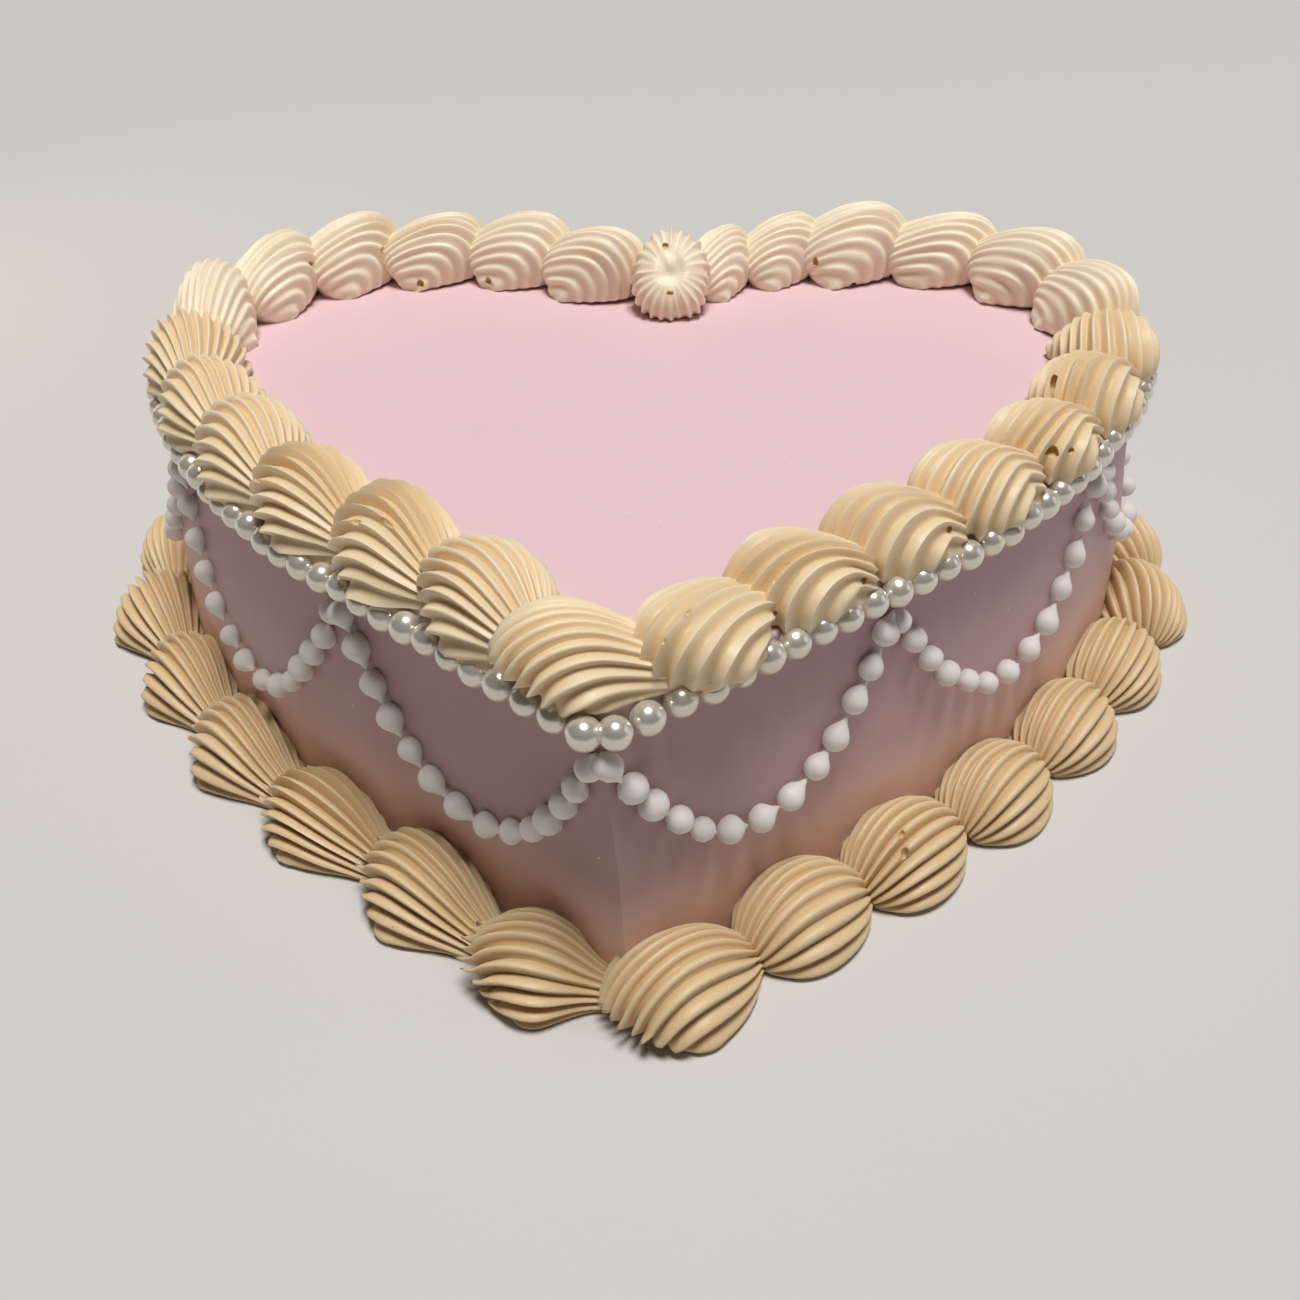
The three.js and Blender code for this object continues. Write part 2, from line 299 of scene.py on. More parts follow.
class Skin:
    """A finish being mixed: its material, its shader and the place that its patterns read."""

    def __init__(self, name: str, looks: dict) -> None:
        """Starts the material.

        Args:
            name: What the finish is.
            looks: Names of the shader's inputs with their values.
        """
        self.material = bpy.data.materials.new(name)
        self.material.use_nodes = True
        self.tree = self.material.node_tree
        self.tree.nodes.clear()
        self.shader = add_node(self.tree, "ShaderNodeBsdfPrincipled", looks)
        add_node(self.tree, "ShaderNodeOutputMaterial", links={"Surface": self.shader.outputs["BSDF"]})
        self.place = add_node(self.tree, "ShaderNodeTexCoord").outputs["Object"]

    def tinted(
        self,
        under: str | Socket,
        over: str | Socket,
        share: Socket,
        span: tuple[float, float] | None = None,
        most: float = 1.0,
        ease: str = "LINEAR",
    ) -> Socket:
        """Lays one colour over another.

        Args:
            under: The lower colour, as hex digits or a socket.
            over: The upper colour, likewise.
            share: What says how much of the upper colour shows.
            span: Its values where the upper colour starts and where it is fullest. Without them it is the
                share itself.
            most: The largest share.
            ease: How the share rises between the two.

        Returns:
            The mixed colour.
        """
        if span:
            rise = {"interpolation_type": ease, "From Min": span[0], "From Max": span[1], "To Max": most}
            share = add_node(self.tree, "ShaderNodeMapRange", rise, {"Value": share}).outputs["Result"]
        settings, links = {"data_type": "RGBA"}, {"Factor": share}
        for number, colour in ((6, under), (7, over)):
            if isinstance(colour, str):
                settings[number] = linear(colour)
            else:
                links[number] = colour
        return add_node(self.tree, "ShaderNodeMix", settings, links).outputs[2]

    def drifting(self, first: str, second: str, size: float, detail: float, roughness: float = 0.5) -> Socket:
        """Drifts between two colours in soft patches.

        Args:
            first: One colour in hex digits.
            second: The other one.
            size: Size of a patch in millimetres.
            detail: How many finer patches lie on it.
            roughness: How strongly they show.

        Returns:
            The colour.
        """
        patches = {"Scale": 1 / (size * MM), "Detail": detail, "Roughness": roughness}
        noise = add_node(self.tree, "ShaderNodeTexNoise", patches, {"Vector": self.place})
        return self.tinted(first, second, noise.outputs["Fac"])

    def dots(
        self, spacing: float, radius: float, core: float, most: float = 1.0, rarity: float = 0.0
    ) -> Socket:
        """Scatters round dots, at most one in each cell of a loose grid.

        Args:
            spacing: Distance between them in millimetres.
            radius: Their radius in millimetres.
            core: Share of the radius where a dot is fullest.
            most: How full it is there.
            rarity: How bright a cell's random colour has to be for it to have a dot.

        Returns:
            The mask, 0 outside the dots.
        """
        grid = {"Scale": 1 / (spacing * MM)}
        cells = add_node(self.tree, "ShaderNodeTexVoronoi", grid, {"Vector": self.place})
        edge = radius / spacing
        fade = {"From Min": edge, "From Max": edge * core, "To Max": most}
        away = {"Value": cells.outputs["Distance"]}
        mask = add_node(self.tree, "ShaderNodeMapRange", fade, away).outputs["Result"]
        if rarity:
            above = {"operation": "GREATER_THAN", 1: rarity}
            chosen = add_node(self.tree, "ShaderNodeMath", above, {0: cells.outputs["Color"]})
            both = {0: mask, 1: chosen.outputs[0]}
            mask = add_node(self.tree, "ShaderNodeMath", {"operation": "MULTIPLY"}, both).outputs[0]
        return mask

    def roughen(
        self,
        size: float,
        detail: float,
        strength: float,
        depth: float,
        pits: Socket | None = None,
        pit_depth: float = 0.0,
    ) -> None:
        """Gives the skin a fine grain, with pits pressed into it.

        Args:
            size: Size of a grain in millimetres.
            detail: How many finer grains lie on it.
            strength: How strongly the grain shows.
            depth: Its depth in millimetres.
            pits: The mask of the pits, if there are any.
            pit_depth: How many times deeper than the grain they are.
        """
        grain = {"Scale": 1 / (size * MM), "Detail": detail}
        height = add_node(self.tree, "ShaderNodeTexNoise", grain, {"Vector": self.place}).outputs["Fac"]
        if pits is not None:
            sunk = {"operation": "MULTIPLY_ADD", 1: -pit_depth}
            height = add_node(self.tree, "ShaderNodeMath", sunk, {0: pits, 2: height}).outputs[0]
        relief = {"Strength": strength, "Distance": depth * MM}
        bump = add_node(self.tree, "ShaderNodeBump", relief, {"Height": height})
        self.tree.links.new(bump.outputs["Normal"], self.shader.inputs["Normal"])

    def coloured(self, colour: Socket) -> bpy.types.Material:
        """Gives the shader its colour and returns the finished material."""
        self.tree.links.new(colour, self.shader.inputs["Base Color"])
        return self.material


@dataclass(frozen=True)
class SmoothedIcing:
    """Pink whipped icing, drawn smooth with a scraper.

    The whipped fat scatters light just under the skin, so it looks soft and a little deeper in the shade. The
    scraper leaves a nearly even skin with faint cloudy patches, specks of undissolved sugar and a few open
    air bubbles, whose pits are coloured dark as painted shade. The wall is coloured a darker pink than the
    top, painted shade for the shadow under the overhanging border. Low on the wall a lighter, warmer pink is
    painted light for the bounce from the floor and the foot border, and toward the tip the wall is painted
    darker still, painted shade. Each pair of heights gives where a change of colour starts and ends, and the
    tip's pair is the same along tip_way.
    """

    pink: str = "e8c9cf"
    cloud: str = "e3c2c9"
    cloud_size: float = 46.0
    # Painted shade: the wall's darker pink stands for the shadow under the overhanging border.
    shaded_wall_pink: str = "be9aa0"
    # Painted light: the lighter pink low on the wall stands for bounce from the floor and the foot border.
    bounce_lit_wall_pink: str = "d9b2b3"
    # Painted shade: the wall darkens toward the tip.
    tip_shade_pink: str = "b39191"
    wall_shade_start: tuple[float, float] = (80.5, 78.5)
    bounce_light_rise: tuple[float, float] = (68.0, 22.0)
    tip_way: tuple[float, float, float] = (-0.35, -1.0, 0.0)
    tip_shade_span: tuple[float, float] = (50.0, 112.0)
    # Painted light: a warm glow right at the foot, for the bounce off the foot border and the floor.
    foot_bounce_glow: str = "ffd6c6"
    foot_bounce_heights: tuple[float, float] = (36.0, 8.0)
    speck: str = "f8e6e6"
    speck_spacing: float = 9.0
    speck_radius: float = 0.405
    # Painted shade: the open bubbles' pits are coloured dark as well as sunk in the bump.
    bubble: str = "a86a62"
    bubble_spacing: float = 13.0
    bubble_radius: float = 0.5
    bubble_rarity: float = 0.86
    grain_size: float = 0.7
    grain_height: float = 0.06

    def make(self) -> bpy.types.Material:
        """Builds the material and returns it."""
        skin = Skin(
            "pink whipped icing",
            {
                "Roughness": 0.5,
                "IOR": SUGAR_AND_FAT_IOR,
                "Subsurface Weight": 0.25,
                "Subsurface Radius": (1.0, 0.45, 0.4),
                "Subsurface Scale": 2.5 * MM,
            },
        )
        height = add_node(skin.tree, "ShaderNodeSeparateXYZ", links={0: skin.place}).outputs["Z"]
        measured = {"operation": "DOT_PRODUCT", 1: self.tip_way}
        toward_tip = add_node(skin.tree, "ShaderNodeVectorMath", measured, {0: skin.place}).outputs["Value"]
        top = skin.drifting(self.pink, self.cloud, self.cloud_size, 3.0, 0.45)
        # Low on the wall the pink turns lighter, painted bounce light.
        wall = skin.tinted(self.shaded_wall_pink, self.bounce_lit_wall_pink, height, metres(*self.bounce_light_rise))
        # Toward the tip the wall darkens further, painted shade.
        wall = skin.tinted(wall, self.tip_shade_pink, toward_tip, metres(*self.tip_shade_span))
        # Below the edge the coat takes the darker wall pink, painted shade under the border.
        coat = skin.tinted(top, wall, height, metres(*self.wall_shade_start))
        # At the foot the coat glows warmer, painted bounce light from the foot border and the floor.
        coat = skin.tinted(coat, self.foot_bounce_glow, height, metres(*self.foot_bounce_heights), 0.9, "SMOOTHSTEP")
        specks = skin.dots(self.speck_spacing, self.speck_radius, 2 / 3, 0.6)
        # The bubbles are real pits in the bump, coloured dark as painted shade.
        bubbles = skin.dots(self.bubble_spacing, self.bubble_radius, 0.6, rarity=self.bubble_rarity)
        coat = skin.tinted(skin.tinted(coat, self.speck, specks), self.bubble, bubbles)
        skin.roughen(self.grain_size, 2.0, 0.35, self.grain_height, bubbles, 6.0)
        return skin.coloured(coat)


@dataclass(frozen=True)
class PipedButtercream:
    """Whipped buttercream pushed through a star tip.

    The teeth of the tip draw thin crests with valleys between them. The crests are coloured paler as painted
    highlight and the valleys darker as painted shade, and some shells are coloured paler all over as painted
    light. Light gets a few millimetres into the butter, so the valleys glow warmer instead of going grey. The
    skin drags along the tip and stays very slightly grainy, with pinholes where air was caught. The two spans
    are how high on a ridge each paler tone starts and is fullest.
    """

    name: str
    # Painted highlight: the paler crest colour. The valley colour below it is painted shade.
    crest: str
    valley: str
    # Painted light: the palest colour, laid over whole shells to lighten them.
    painted_light_colour: str = "fff0d8"
    highlight_span: tuple[float, float] = (0.15, 1.2)
    painted_light_span: tuple[float, float] = (1.35, 2.1)
    grain_height: float = 0.09
    grain_size: float = 0.8
    mottle: float = 0.35
    mottle_size: float = 11.0
    pinhole_spacing: float = 7.0
    pinhole_radius: float = 0.32

    def make(self) -> bpy.types.Material:
        """Builds the material and returns it."""
        skin = Skin(
            self.name,
            {
                "Roughness": 0.46,
                "IOR": SUGAR_AND_FAT_IOR,
                "Subsurface Weight": 0.3,
                "Subsurface Radius": (1.0, 0.62, 0.32),
                "Subsurface Scale": 2.2 * MM,
            },
        )
        ridge = add_node(skin.tree, "ShaderNodeAttribute", {"attribute_name": "ridge"}).outputs["Fac"]
        patches = {"Scale": 1 / (self.mottle_size * MM), "Detail": 3.0}
        noise = add_node(skin.tree, "ShaderNodeTexNoise", patches, {"Vector": skin.place}).outputs["Fac"]
        raised = {"operation": "MULTIPLY_ADD", 1: self.mottle}
        paleness = add_node(skin.tree, "ShaderNodeMath", raised, {0: noise, 2: ridge}).outputs[0]
        # Crests take the painted highlight and valleys the painted shade.
        cream = skin.tinted(self.valley, self.crest, paleness, self.highlight_span)
        # Shells given painted light take the palest colour.
        cream = skin.tinted(cream, self.painted_light_colour, paleness, self.painted_light_span)
        pinholes = skin.dots(self.pinhole_spacing, self.pinhole_radius, 0.5)
        skin.roughen(self.grain_size, 3.0, 0.6, self.grain_height, pinholes, 5.0)
        return skin.coloured(cream)


@dataclass(frozen=True)
class PearlLustre:
    """Sugar pearls tumbled in pearl lustre.

    Fine mica in the coat mirrors the room softly, so each pearl has a silvery middle with a bright spot of
    the lamp above it, while the clear glaze keeps the rim milky.
    """

    pearl: str = "dfd8cb"
    rim: str = "ece7de"
    drift_size: float = 4.0
    grain_size: float = 0.5
    grain_height: float = 0.03

    def make(self) -> bpy.types.Material:
        """Builds the material and returns it."""
        skin = Skin(
            "pearl lustre sugar",
            {
                "Metallic": 0.62,
                "Roughness": 0.25,
                "Sheen Weight": 0.35,
                "Sheen Roughness": 0.4,
                "Coat Weight": 0.5,
                "Coat Roughness": 0.12,
            },
        )
        skin.roughen(self.grain_size, 2.0, 0.15, self.grain_height)
        return skin.coloured(skin.drifting(self.pearl, self.rim, self.drift_size, 2.0))


@dataclass(frozen=True)
class MattWhiteIcing:
    """Stiff white icing pressed out in dots.

    It dries matt and even, a little translucent, with a fine grain of sugar.
    """

    white: str = "f2eeea"
    shade: str = "e6e0dc"
    mottle_size: float = 3.0
    grain_size: float = 0.6
    grain_height: float = 0.06

    def make(self) -> bpy.types.Material:
        """Builds the material and returns it."""
        skin = Skin(
            "matt white icing",
            {
                "Roughness": 0.55,
                "IOR": SUGAR_AND_FAT_IOR,
                "Subsurface Weight": 0.25,
                "Subsurface Radius": (1.0, 0.8, 0.7),
                "Subsurface Scale": 1.5 * MM,
            },
        )
        skin.roughen(self.grain_size, 3.0, 0.4, self.grain_height)
        return skin.coloured(skin.drifting(self.shade, self.white, self.mottle_size, 3.0))


@dataclass(frozen=True)
class PaintedFloor:
    """Matt pale paint on a studio floor, with the faintest roller texture."""

    paint: str = "cbc9c6"
    roller_size: float = 3.0
    roller_height: float = 0.05

    def make(self) -> bpy.types.Material:
        """Builds the material and returns it."""
        skin = Skin("matt floor paint", {"Base Color": linear(self.paint), "Roughness": 0.8})
        skin.roughen(self.roller_size, 2.0, 0.05, self.roller_height)
        return skin.material


# The heart's outline


@dataclass(frozen=True)
class WallSpot:
    """A place on a heart outline, with the way along it and the way out, in millimetres."""

    point: np.ndarray
    along: np.ndarray
    out: np.ndarray


@dataclass(frozen=True)
class HeartOutline:
    """Outline of the iced wall, seen from above, with the tip toward -Y, and how the wall leans.

    Each pull is how far a curve's handle stands from its end. side_shortening and cleft_deepening are what
    the straight side loses and the cleft goes in, for each millimetre that the outline is moved inward.
    """

    half_width: float = 136.0
    tip_y: float = -132.0
    lobe_back_y: float = 100.0
    cleft_y: float = 76.5
    side_angle: float = math.radians(49.3)
    side_length: float = 93.6
    widest_y: float = 33.0
    lobe_x: float = 71.5
    height: float = 80.8
    flare_left: float = 9.0
    flare_right: float = 4.0
    tip_lean: float = 3.0
    flare_at_half: float = 0.75
    centre_x: float = 3.0594
    centre_y: float = 13.0380
    side_pull: float = 48.0
    front_pull: float = 20.0
    back_pull: float = 33.0
    lobe_pulls: tuple[float, float] = (30.0, 44.0)
    cleft_pull: tuple[float, float] = (24.0, 14.0)
    side_shortening: float = 0.5
    cleft_deepening: float = 1.1

    def curves(self, inset: float) -> list[tuple[tuple[float, float], ...]]:
        """The outline moved inward, as curves from the cleft counterclockwise back to it.

        Args:
            inset: How far inward.

        Returns:
            Four control points for a curve, or two for a straight.
        """
        tip = (0.0, self.tip_y + inset / math.sin(self.side_angle))
        run = self.side_length - self.side_shortening * inset
        along = (math.sin(self.side_angle), math.cos(self.side_angle))
        shoulder = (along[0] * run, tip[1] + along[1] * run)
        bend = (shoulder[0] + along[0] * self.side_pull, shoulder[1] + along[1] * self.side_pull)
        side, y = self.half_width - inset, self.widest_y
        back = (self.lobe_x, self.lobe_back_y - inset)
        cleft = (0.0, self.cleft_y - self.cleft_deepening * inset)
        outer, inner = back[0] + self.lobe_pulls[0], back[0] - self.lobe_pulls[1]
        right = [
            (tip, shoulder),
            (shoulder, bend, (side, y - self.front_pull), (side, y)),
            ((side, y), (side, y + self.back_pull), (outer, back[1]), back),
            (back, (inner, back[1]), (self.cleft_pull[0], cleft[1] + self.cleft_pull[1]), cleft),
        ]
        left = [tuple((-x, y) for x, y in reversed(curve)) for curve in reversed(right)]
        return left + right

    def line(self, inset: float, steps: int = 120) -> tuple[np.ndarray, np.ndarray]:
        """The outline as a fine line.

        Args:
            inset: How far inward.
            steps: Parts of each curve.

        Returns:
            Its points, and the length up to each.
        """
        points = [np.array(self.curves(inset)[0][0])]
        for curve in self.curves(inset):
            ends = np.array(curve)
            for share in np.linspace(0, 1, steps + 1)[1:]:
                if len(ends) == 2:
                    points.append(ends[0] + share * (ends[1] - ends[0]))
                else:
                    rest = 1 - share
                    weights = [rest**3, 3 * share * rest**2, 3 * share**2 * rest, share**3]
                    points.append(np.dot(weights, ends))
        line = np.array(points)
        lengths = np.concatenate([[0], np.cumsum(np.linalg.norm(np.diff(line, axis=0), axis=1))])
        return line, lengths

    def spot(self, inset: float, from_tip: float) -> WallSpot:
        """The place at a distance from the tip, negative to the left.

        Args:
            inset: How far inward of the wall.
            from_tip: Distance along the outline.

        Returns:
            The place.
        """
        line, lengths = self.line(inset)
        total = lengths[-1]

        def at(distance: float) -> np.ndarray:
            """Returns the point at a distance along the line."""
            return np.array([np.interp(distance, lengths, line[:, axis]) for axis in (0, 1)])

        distance = (total / 2 + from_tip) % total
        ahead = at(min(distance + 0.002 * total, total)) - at(max(distance - 0.002 * total, 0))
        along = ahead / np.linalg.norm(ahead)
        return WallSpot(at(distance), along, np.array([along[1], -along[0]]))

    def flared_x(self, x: np.ndarray | float, z: np.ndarray | float) -> np.ndarray | float:
        """Where x moves to at height z, by the flare and the lean of the wall.

        Args:
            x: Place across the cake.
            z: Height.

        Returns:
            The new place across the cake.
        """
        height = np.clip(np.asarray(z) / self.height, 0, 1)
        share = np.minimum(2 * self.flare_at_half * (1 - height), 1 - 2 * (1 - self.flare_at_half) * height)
        side = np.asarray(x) / self.half_width
        flare = side * np.where(side < 0, self.flare_left, self.flare_right)
        return x + (flare + (1 - np.abs(side)) * self.tip_lean) * share

    def placed(self, values: np.ndarray) -> np.ndarray:
        """Moves places from the heart's own frame, in millimetres, to the shared frame, in metres."""
        return (values + np.array([self.centre_x, self.centre_y, 0.0])) * MM


# The iced heart


@dataclass
class IcedHeart:
    """The cake under its coat of smoothed icing.

    blank_radius is the size of the circle that the outline is drawn from. The waves of the wall grow up to
    the height foot_calm. tip_drawn_in is how far the edge above the tip is drawn in, within tip_reach of it
    and over tip_heights.
    """

    outline: HeartOutline
    outline_steps: int = 26
    wall_steps: int = 18
    top_rings: int = 4
    ring_width: float = 5.0
    edge_round: float = 1.3
    wall_waves: float = 0.45
    top_waves: float = 0.25
    foot_calm: float = 8.0
    tip_drawn_in: float = 3.6
    tip_reach: float = 9.0
    tip_heights: tuple[float, float] = (70.0, 79.0)
    blank_radius: float = 100.0
    edge_turns: tuple[float, ...] = (22.5, 45.0, 67.5, 90.0)

    def model(self) -> bpy.types.Object:
        """Draws the heart, fills it, raises the wall, rounds the edge and works the skin uneven.

        Returns:
            The finished heart.
        """
        deselect()
        around = len(self.outline.curves(0)) * self.outline_steps
        bpy.ops.mesh.primitive_circle_add(vertices=around, radius=self.blank_radius, fill_type="NGON")
        heart = bpy.context.object
        mesh = edit(heart)
        order_layer = mesh.verts.layers.int.new("order")
        for order, vertex in enumerate(sorted(mesh.verts, key=lambda v: math.atan2(v.co.x, -v.co.y))):
            vertex[order_layer] = order
        bmesh.update_edit_mesh(heart.data)
        self.fit_ring(heart, 0.0, 0.0)
        wall_height = self.outline.height - self.edge_round
        for step in range(1, self.wall_steps + 1):
            bpy.ops.mesh.extrude_region_move()
            self.fit_ring(heart, 0.0, wall_height * step / self.wall_steps)
        for turn in self.edge_turns:
            inward = self.edge_round * (1 - math.cos(math.radians(turn)))
            bpy.ops.mesh.extrude_region_move()
            self.fit_ring(heart, inward, wall_height + self.edge_round * math.sin(math.radians(turn)))
        for ring in range(1, self.top_rings + 1):
            bpy.ops.mesh.extrude_region_move()
            self.fit_ring(heart, self.edge_round + self.ring_width * ring, self.outline.height)
        face_outward()
        bpy.ops.object.mode_set(mode="OBJECT")
        self.work_skin(heart.data)
        shade_smooth(heart, 40)
        return heart

    def fit_ring(self, heart: bpy.types.Object, inset: float, z: float) -> None:
        """Fits the ring that is selected to the outline.

        Args:
            heart: The heart in edit mode.
            inset: How far inward of the wall.
            z: Height.
        """
        line, _ = self.outline.line(inset, self.outline_steps)
        middle = len(line) // 2
        mesh = bmesh.from_edit_mesh(heart.data)
        layer = mesh.verts.layers.int["order"]
        for vertex in mesh.verts:
            if vertex.select:
                point = line[(vertex[layer] + middle) % (len(line) - 1)]
                vertex.co = (point[0], point[1], z)
        bmesh.update_edit_mesh(heart.data)

    def work_skin(self, mesh: bpy.types.Mesh) -> None:
        """Gives the wall its lean and the skin its slight waves.

        Args:
            mesh: The raised heart, in millimetres.
        """
        values = places(mesh)
        ripple = Unevenness(random.Random(7), waves=7, finest=0.02)
        swell = Unevenness(random.Random(8), waves=6, finest=0.014)
        x, y, z = values.T
        reach = np.maximum(np.hypot(x, y), 1)
        wall = self.wall_waves * ripple.at(x + y, z * 1.5) * np.clip(z / self.foot_calm, 0, 1)
        top = self.top_waves * swell.at(x, y) * (z > self.outline.height - 0.01)
        near_tip = np.clip(1 - np.hypot(x, y - self.outline.tip_y) / self.tip_reach, 0, 1)
        low, high = self.tip_heights
        y = y + self.tip_drawn_in * near_tip * np.clip((z - low) / (high - low), 0, 1)
        leaned = self.outline.flared_x(x, z) + wall * x / reach
        values = np.column_stack([leaned, y + wall * y / reach, z + np.minimum(top, 0)])
        set_places(mesh, self.outline.placed(values))


# Pearls and swags


def copied(name: str, master: bpy.types.Object, values: np.ndarray) -> bpy.types.Object:
    """Copies a master, its mesh too.

    Args:
        name: The copy's name.
        master: What is copied.
        values: The places of the copy's vertices.

    Returns:
        The copy.
    """
    copy = bpy.data.objects.new(name, master.data.copy())
    bpy.context.scene.collection.objects.link(copy)
    set_places(copy.data, values)
    return copy


def joined(name: str, master: bpy.types.Object, spots: list[np.ndarray]) -> bpy.types.Object:
    """Lays copies of a master at many spots and joins them.

    Args:
        name: The new piece's name.
        master: What is repeated. It is removed at the end.
        spots: The places of each copy's vertices.

    Returns:
        The joined piece.
    """
    copies = [copied(name, master, values) for values in spots]
    deselect()
    for copy in copies:
        copy.select_set(True)
    bpy.context.view_layer.objects.active = copies[0]
    bpy.ops.object.join()
    bpy.data.objects.remove(master)
    return copies[0]


def on_wall(
    outline: HeartOutline, from_tip: float, z: float, stand_off: float, tilt: float
) -> tuple[np.ndarray, np.ndarray]:
    """Where a small thing sits on the wall.

    Args:
        outline: The heart's outline.
        from_tip: Distance from the tip along the wall.
        z: Height.
        stand_off: Distance out from the wall.
        tilt: How far its way along is turned up, in radians.

    Returns:
        Its centre, and its three ways as columns: along, inward and up.
    """
    spot = outline.spot(0, from_tip)
    along = np.array([spot.along[0], spot.along[1], 0.0])
    out = np.array([spot.out[0], spot.out[1], 0.0])
    up = np.array([0.0, 0.0, 1.0])
    ways = np.column_stack([
        math.cos(tilt) * along + math.sin(tilt) * up,
        -out,
        math.cos(tilt) * up - math.sin(tilt) * along,
    ])
    centre = np.array([float(outline.flared_x(spot.point[0], z)), spot.point[1], z]) + out * stand_off
    return centre, ways


@dataclass
class PearlRow:
    """Sugar pearls pressed into the wall just under the top edge.

    tip_crowding is what share of its usual distance from the tip each of the first pearls there keeps. sizes
    and stretches are the least and the most, and drift and tilt the most to either side.
    """

    outline: HeartOutline
    count: int = 105
    radius: float = 3.85
    z: float = 78.0
    stand_off: float = 2.5
    tip_crowding: tuple[float, ...] = (0.5, 0.88, 0.97)
    dents: float = 0.006
    sizes: tuple[float, float] = (0.93, 1.0)
    stretches: tuple[float, float] = (0.97, 1.03)
    drift: float = 0.5
    tilt: float = 3.0

    def model(self) -> bpy.types.Object:
        """Rolls one pearl and sets the row, each a little different.

        Returns:
            The row as one piece.
        """
        deselect()
        bpy.ops.mesh.primitive_ico_sphere_add(subdivisions=4, radius=1)
        pearl = bpy.context.object
        dent(pearl, self.dents, seed=3)
        draw = random.Random(12)
        unit = places(pearl.data)
        spacing = self.outline.line(0)[1][-1] / self.count
        spots = []
        for order in range(self.count):
            radius = self.radius * draw.uniform(*self.sizes)
            from_tip = (order + 0.5) * spacing
            near = min(order, self.count - 1 - order)
            if near < len(self.tip_crowding):
                crowding = self.tip_crowding[near]
                from_tip = from_tip * crowding if order == near else -(near + 0.5) * spacing * crowding
            z = self.z + draw.uniform(-self.drift, self.drift)
            tilt = draw.uniform(-self.tilt, self.tilt)
            centre, ways = on_wall(self.outline, from_tip, z, self.stand_off, tilt)
            stretch = np.array([draw.uniform(*self.stretches), 1.0, draw.uniform(*self.stretches)])
            spots.append(self.outline.placed(centre + (unit * stretch * radius) @ ways.T))
        row = joined("pearls", pearl, spots)
        shade_smooth(row, 180)
        return row


@dataclass(frozen=True)
class Swag:
    """One hanging loop: its ends as distances from the tip, and its lowest height."""

    start: float
    end: float
    low: float


